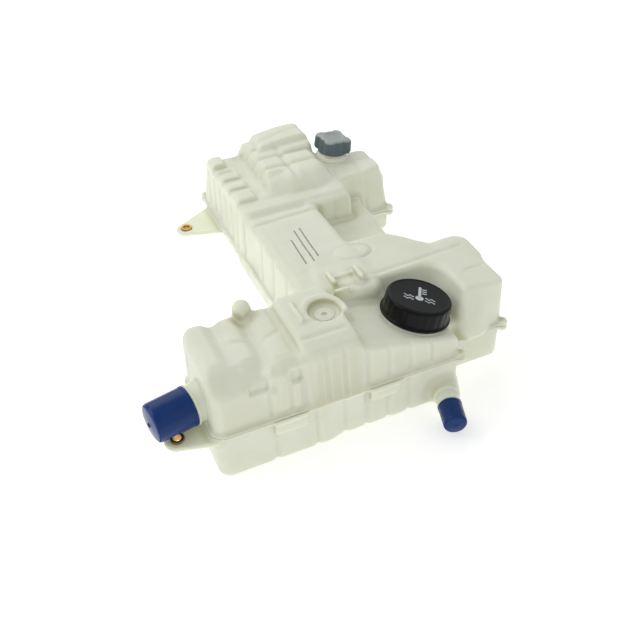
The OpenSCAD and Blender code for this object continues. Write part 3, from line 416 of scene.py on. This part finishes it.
    f = fittings
    bodyField = join(rodField(x, y, z, *f["post"]), bodyField, 6)
    bodyField = join(bodyField, rodField(x, y, z, *f["backKnob"]), 4)
    bodyField = join(bodyField, least(*[blockField(x, y, z, *plate) for plate in f["plates"]]), 4)
    # Low rim round the sensor's bowl, higher at its back, open to the front
    rimTop = f["dishRimTop"] + 3 * smooth(y, 52, 74)
    rim = meet(np.abs(dishReach(x, y) - f["dishRim"]) - f["dishRimHalf"], np.abs(z - rimTop + 8) - 8, 2.4)
    bodyField = join(bodyField, rim + 30 * smooth(-y, -46, -32), 6)
    return join(bodyField, flangeField(x, y, z), 3)


# Places where the necks, the sensor's bowl and the float take material away
def upperCuts(x, y, z):
    f = fittings
    neck = rodField(x, y, z, neckRim - 18 * np.array(neckAxis), neckRim + 30 * np.array(neckAxis), 27.2)
    filler = rodField(x, y, z, fillerRim - 14 * np.array(fillerAxis), fillerRim + 30 * np.array(fillerAxis), 14.3)
    large = rodField(x, y, z, largeRoot - 12 * largeAxis, largeRoot + 20 * largeAxis, 17.2)
    bowl = meet(dishReach(x, y) - f["bowl"], f["bowlFloor"] - z, 3)
    seat = np.maximum(dishReach(x, y) - f["seat"], f["seatFloor"] - z)
    return least(neck, filler, large, bowl, seat, floatPit(x, y, z))


def floatPit(x, y, z):  # the level float rises in it
    return np.maximum(dishReach(x, y) - fittings["floatPit"], np.abs(z - weld) - fittings["floatPitHalf"])


# Lower half: the same plans, leaning in towards the floor, each with its own floor height
def lowerField(x, y, z):
    b = body
    drop = weld - z
    lean = b["lowerLean"] * drop
    frontWall = (1 - smooth(y, 4, 16)) * band(drop, 5, 66, 4)
    step = smooth(x, 118, 128) * (1 - smooth(x, 228, 244))  # from here on the wall stands a little further back
    grooves = (1.8 * rows(x, b["lowerGrooves"], 2.6) + 1.6 * step) * frontWall
    floorBar = 0.6 + (1.6 * band(x, 119, 246, 9) + 1.2 * rows(x, b["lowerGrooves"], 3)) * (1 - smooth(y, 60, 80))
    bodyField = meet(planOf(x, y, "bar", "barRight") + lean * 0.1 + grooves, floorBar - z, 7)
    bodyField = join(bodyField, meet(planOf(x, y, "wing") + lean * 0.2, 14 - z, 8.5), 6)
    ribs = 1.8 * rows(y, b["wallGrooves"], 2.6) * (1 - smooth(x, 130, 140)) * band(drop, 6, 40, 5)
    bodyField = join(bodyField, meet(planOf(x, y, "bridge") + lean + ribs, 22 - z, 9), 6)
    bodyField = join(bodyField, meet(planOf(x, y, "shelf") + lean, 26 - z, 8), 6)
    bodyField = join(bodyField, meet(planOf(x, y, "back") + lean + ribs, 32 - z, 9), 6)
    bodyField = join(bodyField, meet(planOf(x, y, "shoulder", "side", "sideBack") + lean * 0.15, 30 - z, 6), 6)
    bodyField = join(bodyField, meet(planOf(x, y, "sump") + lean * 1.5, 0.7 - z, 9), 8)
    # Lugs under the front flange: a low step on a shallow foot
    for start in b["lugs"]:
        lug = blockField(x, y, z, (start, -4.6, 53), (start + 34, 4, 60), 1.5, 1.4)
        foot = blockField(x, y, z, (start + 1, -2.2, 41), (start + 33, 4, 54), 1.5, 2)
        bodyField = join(bodyField, np.minimum(lug, foot), 3)
    socket = rodField(x, y, z, smallRoot - 12 * smallAxis, smallRoot + 13 * smallAxis, 14.2, 3)
    bodyField = join(bodyField, socket, 9)
    # Fixing ears: a slab with tangents to the circle round each bush
    for hole, first, last in b["ears"]:
        ear = np.minimum(polygonPlan(x, y, earOutline(hole, first, last, b["earRadius"])),
                         np.hypot(x - hole[0], y - hole[1]) - b["earRadius"])
        bodyField = join(bodyField, meet(ear, np.abs(z - 54.5) - 2.5, 1.6), 5)
    return join(bodyField, flangeField(x, y, z), 3)


# From each wall point, the tangent to the circle: the centre, less a radius turned by the angle at the wall point
def earOutline(hole, first, last, radius):
    def touch(point, other):
        gap = np.subtract(hole, point)
        base = math.atan2(gap[1], gap[0])
        turns = [base + sign * math.acos(radius / np.hypot(*gap)) for sign in (1, -1)]
        found = [(hole[0] - radius * math.cos(turn), hole[1] - radius * math.sin(turn)) for turn in turns]
        return max(found, key=lambda p: math.dist(p, other))
    return [first, last, touch(last, first), tuple(hole), touch(first, last)]


def lowerCuts(x, y, z):
    small = rodField(x, y, z, smallRoot - 14 * smallAxis, smallRoot + 30 * smallAxis, 9)
    holes = [np.hypot(x - hole[0], y - hole[1]) - body["earHole"] for hole, first, last in body["ears"]]
    return least(small, *holes, floatPit(x, y, z))


# One half: its field, met with the weld plane, less the pits that the necks, the float and the dish need. The faces
# at the weld plane lie against each other, out of sight
def makeHalf(name, field, cuts, grid, upper):
    step = body["gridStep"]
    low, high = grid
    axes = [np.arange(low[k], high[k] + step, step, dtype=np.float32) for k in range(3)]
    x, y, z = axes[0][:, None, None], axes[1][None, :, None], axes[2][None, None, :]
    outside = field(x, y, z)
    plane = (weld + 0.02 - z) if upper else (z - weld + 0.02)
    half = np.maximum(np.maximum(outside, plane), -cuts(x, y, z))
    verts, faces = surfaceNet(half, low, step)
    piece = makeObject(name, verts, faces)
    # How deep each point lies between walls: one less the outside's distance a little way out along its normal
    normals = np.empty(len(verts) * 3, np.float32)
    piece.data.vertex_normals.foreach_get("vector", normals)
    reach = body["depthReach"]
    openness = np.clip(sampleField(outside, low, step, verts + normals.reshape(-1, 3) * reach) / reach, -0.2, 1.2)
    # The milky material paints shade from this value: olive where walls lie close together
    mark = piece.data.attributes.new("cavityShade", "FLOAT", "POINT")
    mark.data.foreach_set("value", (1 - openness).astype(np.float32))
    print("  ", name, 2 * len(faces), "triangles")
    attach(piece, "tank")
    return piece


upperBody = makeHalf("upperBody", upperField, upperCuts, body["upperGrid"], True)
for node in ("upper_left_end", "upper_pad", "upper_deck", "upper_wing", "upper_bridge", "upper_back"):
    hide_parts(node)
lowerBody = makeHalf("lowerBody", lowerField, lowerCuts, body["lowerGrid"], False)
for node in ("lower_left_end", "lower_front", "lower_wing", "lower_bridge", "lower_back"):
    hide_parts(node)

print("necks and caps")
collaredNecks = {  # a point is a radius, a height and, where the corner is soft, its softness
    "pressure": {"bore": 25, "radius": 30, "foot": -20, "flareFoot": (30, -13), "flare": (36, -11.5, 2),
                 "collar": (33.5, -3.2, 2), "ledge": (30.4, -1.8, 1.5), "top": 15.4, "rimRound": 0.8},
    "filler": {"bore": 13, "radius": 16, "foot": -16, "flareFoot": (17, -10), "flare": (21, -7.5, 2),
               "collar": (19, -2.4, 1.5), "ledge": (16.3, -1.4, 1), "top": 13.2, "rimRound": 0.6},
}
hoseNecks = {  # the tube widens towards the wall and has one ring near the cap's mouth
    "large": {"bore": 15.8, "radius": 18.9, "length": 50, "plainFrom": 8.2, "ringRadius": 20.7, "ring": (9.4, 11.4),
              "ringSlope": 0.4, "ringRound": (0.5, 0.6), "rimRound": 1.2,
              "root": ((20.5, -12), (21.8, -1.5, 3), (20.2, 3.0, 2), (19.2, 6.2, 1.5))},
    "small": {"bore": 7.8, "radius": 10.9, "length": 50, "plainFrom": 15, "ringRadius": 12.9, "ring": (21.8, 24.4),
              "ringSlope": 0.4, "ringRound": (0.4, 0.5), "rimRound": 1,
              "root": ((13, -14), (15.5, 0, 3), (13.6, 10.5, 2), (11.6, 12.5, 1.5))},
}


def collaredNeck(name, n, foot, axis, segments):
    return turned(name, [
        (n["bore"], n["foot"]), (n["radius"], n["foot"]), n["flareFoot"], n["flare"], n["collar"], n["ledge"],
        (n["radius"], n["top"], n["rimRound"]), (n["bore"], n["top"], n["rimRound"])], foot, axis, segments)


def hoseNeck(name, n, foot, axis, segments):
    start, stop = n["ring"]
    side, top = n["ringRound"]
    return turned(name, [
        (n["bore"], n["root"][0][1]), *n["root"], (n["radius"], n["plainFrom"]),
        (n["radius"], start - n["ringSlope"], side), (n["ringRadius"], start, top), (n["ringRadius"], stop, top),
        (n["radius"], stop + n["ringSlope"], side), (n["radius"], n["length"], n["rimRound"]),
        (n["bore"], n["length"], n["rimRound"])], foot, axis, segments)


pressureNeck = collaredNeck("pressureNeck", collaredNecks["pressure"], neckRim, neckAxis, 128)
fillerNeck = collaredNeck("fillerNeck", collaredNecks["filler"], fillerRim, fillerAxis, 96)
largeNeck = hoseNeck("largeHoseNeck", hoseNecks["large"], largeRoot, largeAxis, 96)
smallNeck = hoseNeck("smallHoseNeck", hoseNecks["small"], smallRoot, smallAxis, 80)

blackCap = {
    "radius": 36.5, "skirt": 34.6, "bore": 30.3, "height": 22, "thickness": 3, "flutes": 24, "fluteDepth": 0.35,
    "dish": 0.7, "dishRadius": 29.5, "bead": 2.3, "skirtStart": 5, "shoulder": 2.4, "rim": 3.4,
}


def fluted(angle, radius, height):  # the skirt's outer face waves a little in and out round the cap
    onSkirt = smooth(radius, 32, 34) * band(height, 2.6, 20, 1.5)
    return radius - blackCap["fluteDepth"] * onSkirt * (0.5 - 0.5 * np.cos(blackCap["flutes"] * angle)) ** 2


b = blackCap
pressureCap = turned("pressureCap", [
    (0.0, b["height"] - b["dish"]), (0.0, b["height"] - b["thickness"]), (b["bore"], b["height"] - b["thickness"], 1),
    (b["bore"], 0, 0.4), (b["radius"] - 0.2, 0, 0.6), (b["radius"], 0.9, 0.5), (b["radius"], b["bead"], 0.6),
    (b["skirt"] + 0.5, b["bead"] + 0.7, 0.8), (b["skirt"], b["skirtStart"], 1),
    (b["skirt"] - 0.5, b["height"] - b["shoulder"], 2.4), (b["skirt"] - b["rim"], b["height"], 2.2),
    (b["dishRadius"] + 0.9, b["height"], 0.5),
    (b["dishRadius"], b["height"] - b["dish"], 0.5)], neckRim, neckAxis, 240, fluted)


greyCap = {
    "radius": 24, "height": 20, "thickness": 3, "bore": 16.3, "cupRadius": 10, "cupDepth": 1.3, "lobes": 4, "turn": 50,
    "lobeRadius": 7, "reach": 17, "core": 17.5, "blend": 3.5, "lobeStart": (0.5, 3.5),
}


def lobed(angle, radius, height):  # a round core and four lobes, each the outline of a bar with a round end
    c = greyCap
    turn = angle - math.radians(c["turn"])
    away = np.arctan2(np.sin(c["lobes"] * turn), np.cos(c["lobes"] * turn)) / c["lobes"]
    side = c["reach"] * np.sin(np.abs(away))
    tip = c["reach"] * np.cos(away) + np.sqrt(np.maximum(c["lobeRadius"] ** 2 - side ** 2, 0))
    flank = c["lobeRadius"] / np.maximum(np.sin(np.abs(away)), 0.05)
    lobe = np.where(side < c["lobeRadius"] * np.cos(away), tip, np.minimum(flank, tip + 9))
    core = c["core"]
    blended = np.minimum(-join(-lobe, -core, c["blend"]), c["reach"] + c["lobeRadius"])
    outline = core + 0.4 + (blended - core - 0.4) * smooth(height, *c["lobeStart"])  # round at the foot
    outside = (radius > c["bore"] + 0.9) | (height > c["height"] - c["thickness"] + 1)
    return radius * np.where(outside, 1 + (outline / c["radius"] - 1) * smooth(radius, 12, 21), 1)


g = greyCap
fillerCap = turned("fillerCap", [
    (0.0, g["height"] - g["cupDepth"]), (0.0, g["height"] - g["thickness"]),
    (g["bore"], g["height"] - g["thickness"], 0.8), (g["bore"], 0, 0.4), (g["radius"], 0.0, 0.8),
    (g["radius"], 2.2, 0.6), (g["radius"] - 0.1, 5), (g["radius"] - 0.4, 11),
    (g["radius"] - 0.6, g["height"] - 2.4, 2.2), (g["radius"] - 3.2, g["height"], 2.2), (17.1, g["height"], 1.5),
    (g["cupRadius"] + 1.5, g["height"], 1),
    (g["cupRadius"], g["height"] - g["cupDepth"], 1)], fillerRim, fillerAxis, 240, lobed, steps=7)

blueCaps = {  # wall, shoulder and nib are points of the profile, as above
    "large": {"bore": 19.15, "mouth": 12, "bead": (20.75, 14.6), "ceiling": ((9, 51.2), (18.55, 50.4, 1)),
              "wall": ((20.3, 15.4, 0.6), (19.9, 50.2, 2.4)), "shoulder": ((16.7, 52.2, 2), (4.6, 53.5, 1)),
              "nib": ((2.6, 53.6, 0.3), (2.1, 54.7, 0.6)), "beadRound": (0.4, 0.6)},
    "small": {"bore": 11.15, "mouth": 25.4, "bead": (12.72, 27.4), "ceiling": ((5, 51.2), (10.65, 50.4, 0.8)),
              "wall": ((12.4, 28, 0.5), (12.15, 50.6, 2)), "shoulder": ((9.75, 52.3, 1.5), (4.2, 53.5, 1)),
              "nib": ((2.4, 53.6, 0.3), (2.0, 54.7, 0.5)), "beadRound": (0.3, 0.5)},
    "boreEnd": 47, "underside": 51.4, "top": 53.6, "nibTop": 54.8,
}


def blueCap(name, size, foot, axis, segments):
    c = blueCaps[size]
    lip, back = c["beadRound"]
    return turned(name, [
        (0.0, blueCaps["top"]), (0.0, blueCaps["underside"]), *c["ceiling"], (c["bore"], blueCaps["boreEnd"]),
        (c["bore"], c["mouth"], lip), (c["bead"][0], c["mouth"], lip), (*c["bead"], back), *c["wall"],
        *c["shoulder"], *c["nib"], (0.0, blueCaps["nibTop"])], foot, axis, segments)


largeCap = blueCap("largeBlueCap", "large", largeRoot, largeAxis, 128)
smallCap = blueCap("smallBlueCap", "small", smallRoot, smallAxis, 96)

# Print on the cap: a plain thermometer over two waves, each a strip between two curves, laid on the dished top
capPrint = {"lift": 0.10, "thick": 0.22, "turn": -32}


def printStrip(name, xs, lower, upper, steps=48):
    t = np.linspace(xs[0], xs[1], steps)
    flat = np.stack([np.stack([t, edge(t) + 0 * t], -1) for edge in (lower, upper)], 1)  # steps by 2 points
    side, across, axis = axisFrame(neckAxis)
    a = math.radians(capPrint["turn"])
    flat = flat @ np.array([[math.cos(a), math.sin(a)], [-math.sin(a), math.cos(a)]])
    base = neckRim + axis * (blackCap["height"] - blackCap["dish"] + capPrint["lift"] - capPrint["thick"])
    under = base + flat[..., :1] * side + flat[..., 1:] * across
    over = under + axis * capPrint["thick"]
    ring = np.stack([under[:, 0], under[:, 1], over[:, 1], over[:, 0]], 1)
    faces = gridFaces(steps, 4)
    ends = np.array([[0, 1, 2, 3], [4 * steps - 1, 4 * steps - 2, 4 * steps - 3, 4 * steps - 4]])
    return makeObject(name, ring.reshape(-1, 3), np.concatenate([faces, ends]), smoothFaces=False)


def arc(t, radius):  # height of a circle over its middle
    return np.sqrt(np.maximum(radius ** 2 - t * t, 0))


def wave(t, level):
    return level + 1.2 * np.sin(t * 1.15)


stem, bulb = 1.5, 4.2  # half the thermometer's tube and the radius of its bulb
symbol = [
    printStrip("printStem", (-stem, stem), lambda t: -3, lambda t: 15.5 + arc(t, stem)),
    printStrip("printBulb", (-bulb, bulb), lambda t: -5 - arc(t, bulb), lambda t: -5 + arc(t, bulb)),
]
for row in range(3):
    symbol.append(printStrip("printTick" + str(row), (2.4, 7.0), lambda t: 4.2 + 4 * row, lambda t: 5.8 + 4 * row))
for row in range(2):
    for side, span in (("Left", (-16, -5.6)), ("Right", (5.6, 16))):
        symbol.append(printStrip("printWave" + side + str(row), span, lambda t: wave(t, -4.4 - 5 * row),
                                 lambda t: wave(t, -2.9 - 5 * row)))

for piece, bodyName, nodeName in ((pressureNeck, "tank", None), (fillerNeck, "tank", None), (largeNeck, "tank", None),
                                  (smallNeck, "tank", None), (pressureCap, "pressure_cap", "pressure_cap_shell"),
                                  (fillerCap, "filler_cap", "filler_cap_shell"),
                                  (largeCap, "large_transit_cap", "large_transit_cap"),
                                  (smallCap, "small_transit_cap", "small_transit_cap")):
    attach(piece, bodyName)
    if nodeName:
        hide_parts(nodeName)
for piece in symbol:
    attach(piece, "pressure_cap")


print("materials")


class Wire:  # a node's output, with Python's operators as Math nodes
    def __init__(self, graph, socket):
        self.graph, self.socket = graph, socket

    def math(self, operation, *values):
        return self.graph.math(operation, *values)

    def __add__(self, other): return self.math("ADD", self, other)
    def __radd__(self, other): return self.math("ADD", other, self)
    def __sub__(self, other): return self.math("SUBTRACT", self, other)
    def __rsub__(self, other): return self.math("SUBTRACT", other, self)
    def __mul__(self, other): return self.math("MULTIPLY", self, other)
    def __rmul__(self, other): return self.math("MULTIPLY", other, self)
    def __gt__(self, other): return self.math("GREATER_THAN", self, other)

    def above(self, start, stop):  # 0 below start, 1 above stop
        return self.graph.node("ShaderNodeMapRange", {"interpolation_type": "SMOOTHSTEP", "clamp": True},
                               {"Value": self, "From Min": start, "From Max": stop})

    def within(self, centre, half, soft):  # 1 within half of a centre
        return 1 - self.math("ABSOLUTE", self - centre).above(half - soft, half + soft)


class Graph:  # a node tree with one method for any node in it
    def __init__(self, tree):
        self.tree = tree

    def node(self, kind, settings=None, sockets=None, output=0):
        made = self.tree.nodes.new(kind)
        for key, value in (settings or {}).items():
            setattr(made, key, value)
        for key, value in (sockets or {}).items():
            self.plug(made.inputs[key], value)
        return Wire(self, made.outputs[output])

    def plug(self, socket, value):
        if isinstance(value, Wire):
            self.tree.links.new(value.socket, socket)
        elif isinstance(value, tuple) and len(value) == 3 and socket.type == "RGBA":
            socket.default_value = (*value, 1)
        else:
            socket.default_value = value

    def math(self, operation, *values):
        return self.node("ShaderNodeMath", {"operation": operation}, dict(enumerate(values)))

    def place(self):
        return self.node("ShaderNodeTexCoord", {}, {}, "Object")

    def axes(self):  # x, y and z of the object's own place, in metres
        return [self.node("ShaderNodeSeparateXYZ", {}, {0: self.place()}, k) for k in range(3)]

    def noise(self, scale, detail=2.0, rough=0.5, stretch=None):
        where = self.place()
        if stretch:
            where = self.node("ShaderNodeMapping", {}, {"Vector": where, "Scale": stretch})
        return self.node("ShaderNodeTexNoise", {}, {"Vector": where, "Scale": scale, "Detail": detail,
                                                    "Roughness": rough})

    def mix(self, factor, first, second):  # of two colours
        return self.node("ShaderNodeMix", {"data_type": "RGBA"}, {0: factor, 6: first, 7: second}, 2)


class Finish(Graph):  # one material: a Principled shader and the nodes that feed it
    def __init__(self, name, **constants):
        self.material = bpy.data.materials.new(name)
        self.material.use_nodes = True
        super().__init__(self.material.node_tree)
        self.shader = self.tree.nodes["Principled BSDF"]
        for socketName, value in constants.items():
            self.feed(socketName.replace("_", " "), value)

    def feed(self, socketName, value):
        self.plug(self.shader.inputs[socketName], value)

    def bump(self, height, strength, distance):
        self.feed("Normal", self.node("ShaderNodeBump", {}, {"Height": height, "Strength": strength,
                                                             "Distance": distance}))

    def on(self, *pieces):
        for piece in pieces:
            if piece.data.materials:
                for slot in piece.material_slots:
                    slot.material = self.material
            else:
                piece.data.materials.append(self.material)


def shade(red, green, blue):  # screen values of 0 to 255 as a linear colour
    return tuple(((v / 255 + 0.055) / 1.055) ** 2.4 if v > 10 else v / 255 / 12.92 for v in (red, green, blue))


# Milky plastic: painted shade makes it pale where it stands free and olive, then deeper olive, where walls lie close
# together; cloudy, with a fine matt grain and a faint painted glow for light coming through it
milky = {
    "pale": shade(222, 225, 208), "shadeAndCloudOlive": shade(196, 195, 166), "deepShade": shade(176, 174, 140),
    "clouds": 0.16, "cloudScale": 28, "grainScale": 900, "rippleScale": 120, "roughness": 0.42, "bump": 0.2,
    "glow": 0.1, "scatter": 0.6, "scatterReach": (0.010, 0.010, 0.007),
}


def milkyPlastic(name, marks=False):
    m = milky
    finish = Finish(name, IOR=1.5, Subsurface_Weight=m["scatter"], Subsurface_Radius=m["scatterReach"],
                    Subsurface_Scale=1.0, Emission_Strength=1.0)
    cloud = finish.noise(m["cloudScale"], 3, 0.55)
    grain = finish.noise(m["grainScale"], 2, 0.6)
    ripple = finish.noise(m["rippleScale"], 2, 0.5, stretch=(1, 1, 0.25))
    cavityShade = finish.node("ShaderNodeAttribute", {"attribute_name": "cavityShade"}, {}, "Fac")
    # Painted shade: the tint goes olive, then deeper olive, where walls lie close together
    tint = finish.mix(cavityShade.above(0.08, 0.75), m["pale"], m["shadeAndCloudOlive"])
    tint = finish.mix(cavityShade.above(0.7, 1.15) * 0.8, tint, m["deepShade"])
    tint = finish.mix(cloud.above(0.35, 0.7) * m["clouds"], tint, m["shadeAndCloudOlive"])
    if marks:
        x, y, z = finish.axes()
        cosTurn, sinTurn = math.cos(printBars["turn"]), math.sin(printBars["turn"])
        mask = 0
        for barX, barY, half in printBars["bars"]:
            dx, dy = x - (barX + wallCorner[0]) * mm, y - (barY + wallCorner[1]) * mm
            across, along = dx * cosTurn + dy * sinTurn, dy * cosTurn - dx * sinTurn
            mask += across.within(0, printBars["half"] * mm, 0.25 * mm) * along.within(0, half * mm, 0.3 * mm)
        worn = finish.noise(1400, 2, 0.6).above(0.34, 0.5)
        tint = finish.mix(mask * worn * (z > printBars["lowest"] * mm) * 0.8, tint, printBars["ink"])
    finish.feed("Base Color", tint)
    # Painted light: a faint glow in the plastic's own colour stands in for light coming through its walls
    finish.feed("Emission Color", finish.mix(m["glow"], (0, 0, 0), tint))
    finish.feed("Roughness", grain * 0.14 + (m["roughness"] - 0.07))
    finish.bump(grain * 0.35 + ripple * 0.65, m["bump"], 0.0006)
    return finish


# Plain bars where the tank has its print, each as centre x, centre y and half length
printBars = {
    "bars": ((168, 176, 33), (175.5, 180, 31), (158.5, 168, 25)), "half": 0.9, "turn": math.radians(-3),
    "lowest": 110, "ink": shade(70, 74, 72),
}
milkyPlastic("milkyBody", marks=True).on(upperBody)
plainMilky = milkyPlastic("milkyPlain")
plainMilky.on(lowerBody, pressureNeck, fillerNeck, largeNeck, smallNeck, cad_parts["sensor_tube"])


def mouldedPlastic(name, colour, light, roughness, grainScale, bump, streak=None, coat=0.0, ior=1.5):
    finish = Finish(name, IOR=ior, Coat_Weight=coat, Coat_Roughness=0.12)
    grain = finish.noise(grainScale, 3, 0.6)
    patch = finish.noise(40, 2, 0.5)
    finish.feed("Base Color", finish.mix(patch.above(0.35, 0.75) * 0.5, colour, light))
    wear = finish.noise(220, 3, 0.65, stretch=streak) if streak else patch
    finish.feed("Roughness", grain * 0.1 + wear * 0.14 + (roughness - 0.12))
    finish.bump(grain, bump, 0.0003)
    return finish


blue = mouldedPlastic("softBlue", shade(4, 48, 108), shade(8, 58, 124), 0.24, 700, 0.05, (1, 1, 0.2), 0.06, 1.33)
white = mouldedPlastic("printWhite", shade(196, 204, 210), shade(214, 220, 224), 0.55, 900, 0.3)
darkPlastic = mouldedPlastic("darkPlastic", shade(40, 41, 43), shade(52, 53, 56), 0.4, 900, 0.25)
floatFoam = mouldedPlastic("floatPlastic", shade(214, 210, 192), shade(226, 223, 208), 0.5, 500, 0.3)
magnetGrey = mouldedPlastic("magnetGrey", shade(58, 58, 62), shade(74, 74, 78), 0.45, 800, 0.4)


def sealRubber():
    finish = Finish("sealRubber", IOR=1.52)
    grain = finish.noise(1500, 3, 0.65)
    bloom = finish.noise(90, 3, 0.6)
    finish.feed("Base Color", finish.mix(bloom.above(0.4, 0.7) * 0.6, shade(24, 24, 25), shade(46, 46, 46)))
    finish.feed("Roughness", 0.6 + grain * 0.2)
    finish.bump(grain, 0.35, 0.0002)
    return finish


def metal(name, colour, dark, roughness, turned=220.0):
    finish = Finish(name, Metallic=1.0)
    grain = finish.noise(turned, 3, 0.6, stretch=(1, 1, 12))  # fine rings left by turning or drawing
    stain = finish.noise(160, 3, 0.6)
    finish.feed("Base Color", finish.mix(stain.above(0.42, 0.75) * 0.7, colour, dark))
    finish.feed("Roughness", grain * 0.12 + stain * 0.1 + (roughness - 0.1))
    finish.bump(grain, 0.2, 0.0002)
    return finish


brass = metal("bushBrass", shade(206, 164, 100), shade(168, 124, 70), 0.34)
valveBrass = metal("valveBrass", shade(212, 176, 108), shade(178, 140, 84), 0.3)
steel = metal("valveSteel", shade(186, 188, 190), shade(150, 152, 154), 0.3)
springWire = metal("springWire", shade(170, 172, 176), shade(128, 130, 134), 0.32, 900)
rubber = sealRubber()


def cappedPlastic(name, side, top, foot, axis, start, stop):  # a second colour above a height along an axis
    finish = Finish(name, IOR=1.26, Coat_Weight=0.03, Coat_Roughness=0.12)
    foot = ((np.array(foot) + (*wallCorner, 0)) * mm).tolist()
    x, y, z = [(place - low) * part for place, low, part in zip(finish.axes(), foot, axis)]
    mask = (x + y + z).above(start * mm, stop * mm)
    cloud = finish.noise(60, 2, 0.5)
    facing = finish.mix(cloud.above(0.3, 0.75) * 0.5, top, tuple(v * 1.2 for v in top))
    finish.feed("Base Color", finish.mix(mask, side, facing))
    finish.feed("Roughness", mask * 0.2 + finish.noise(1500, 3, 0.6) * 0.08 + 0.24)
    finish.bump(finish.noise(1200, 3, 0.6), 0.2, 0.0003)
    return finish


blackPlastic = cappedPlastic("blackCapPlastic", shade(7, 7, 8), shade(30, 33, 34), neckRim, neckAxis, 20.4, 21.6)
blackPlastic.on(pressureCap)
greyPlastic = cappedPlastic("greyCapPlastic", shade(98, 110, 116), shade(170, 177, 172), fillerRim, fillerAxis,
                            16.5, 19.4)
greyPlastic.on(fillerCap)
blue.on(largeCap, smallCap)
white.on(*symbol)
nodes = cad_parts
for finish, names in ((darkPlastic, ("cap_valve_body", "filler_cap_plug", "float_retainer")),
                      (floatFoam, ("level_float",)), (magnetGrey, ("float_magnet",)),
                      (rubber, ("cap_neck_seal", "cap_bore_ring", "filler_cap_seal")),
                      (steel, ("spring_holder", "pressure_valve_plate")), (valveBrass, ("vacuum_valve",)),
                      (springWire, ("pressure_spring", "vacuum_spring")), (brass, ("front_ear_bush", "rear_ear_bush"))):
    finish.on(*[nodes[name] for name in names])

print("floor, light and camera")
studio = {
    "floorSize": 6.0, "floorZ": -0.0003, "floorColour": 0.86, "floorGlow": 0.46, "worldLight": 0.52,
    "keyPlace": (-1.2, 0.4, 1.4), "keySize": 1.6, "keyPower": 9.5,
    "fillPlace": (0.3, -1.6, 0.6), "fillSize": 1.8, "fillPower": 1.5, "backPlace": (0.2, 1.5, 1.4), "backPower": 7.5,
    "eye": (-0.24270, -0.71651, 0.63154), "yaw": 0.385493, "pitch": 0.686424, "roll": -0.052675, "focalPixels": 831.09,
}
s = studio
corners = np.array([(-1, -1), (1, -1), (1, 1), (-1, 1)]) * s["floorSize"] / 2
floorMesh = bpy.data.meshes.new("floor")
floorMesh.from_pydata([(x, y, s["floorZ"]) for x, y in corners], [], [(0, 1, 2, 3)])
floor = bpy.data.objects.new("floor", floorMesh)
bpy.context.collection.objects.link(floor)
Finish("paleFloor", Base_Color=(s["floorColour"],) * 3, Roughness=0.9, Emission_Color=(s["floorGlow"],) * 3,
       Emission_Strength=1.0).on(floor)

world = bpy.data.worlds.new("studio")
bpy.context.scene.world = world
world.use_nodes = True
sky = Graph(world.node_tree)
backdrop = sky.tree.nodes["Background"]
seen = sky.math("MAXIMUM", *[sky.node("ShaderNodeLightPath", {}, {}, "Is " + ray + " Ray")
                             for ray in ("Camera", "Transmission")])
sky.plug(backdrop.inputs["Color"], (1, 1, 1))
sky.plug(backdrop.inputs["Strength"], seen * (1 - s["worldLight"]) + s["worldLight"])


def softLight(name, place, size, power, target=(0, 0, 0.06)):
    data = bpy.data.lights.new(name, "AREA")
    data.shape, data.size, data.energy = "DISK", size, power
    lamp = bpy.data.objects.new(name, data)
    lamp.location = place
    lamp.rotation_euler = (Vector(target) - Vector(place)).to_track_quat("-Z", "Y").to_euler()
    bpy.context.collection.objects.link(lamp)


softLight("keyLight", s["keyPlace"], s["keySize"], s["keyPower"])
softLight("fillLight", s["fillPlace"], s["fillSize"], s["fillPower"])
softLight("backLight", s["backPlace"], s["fillSize"], s["backPower"])

lens = bpy.data.cameras.new("photoCamera")
camera = bpy.data.objects.new("photoCamera", lens)
bpy.context.collection.objects.link(camera)
lens.sensor_width, lens.clip_start, lens.clip_end = 36, 0.01, 20
lens.lens = s["focalPixels"] / 640 * 36
camera.matrix_world = (Matrix.Translation(s["eye"]) @ Matrix.Rotation(-s["yaw"], 4, "Z")
                       @ Matrix.Rotation(math.pi / 2 - s["pitch"], 4, "X") @ Matrix.Rotation(s["roll"], 4, "Z"))
bpy.context.scene.camera = camera
bpy.context.scene.view_settings.view_transform = "Standard"
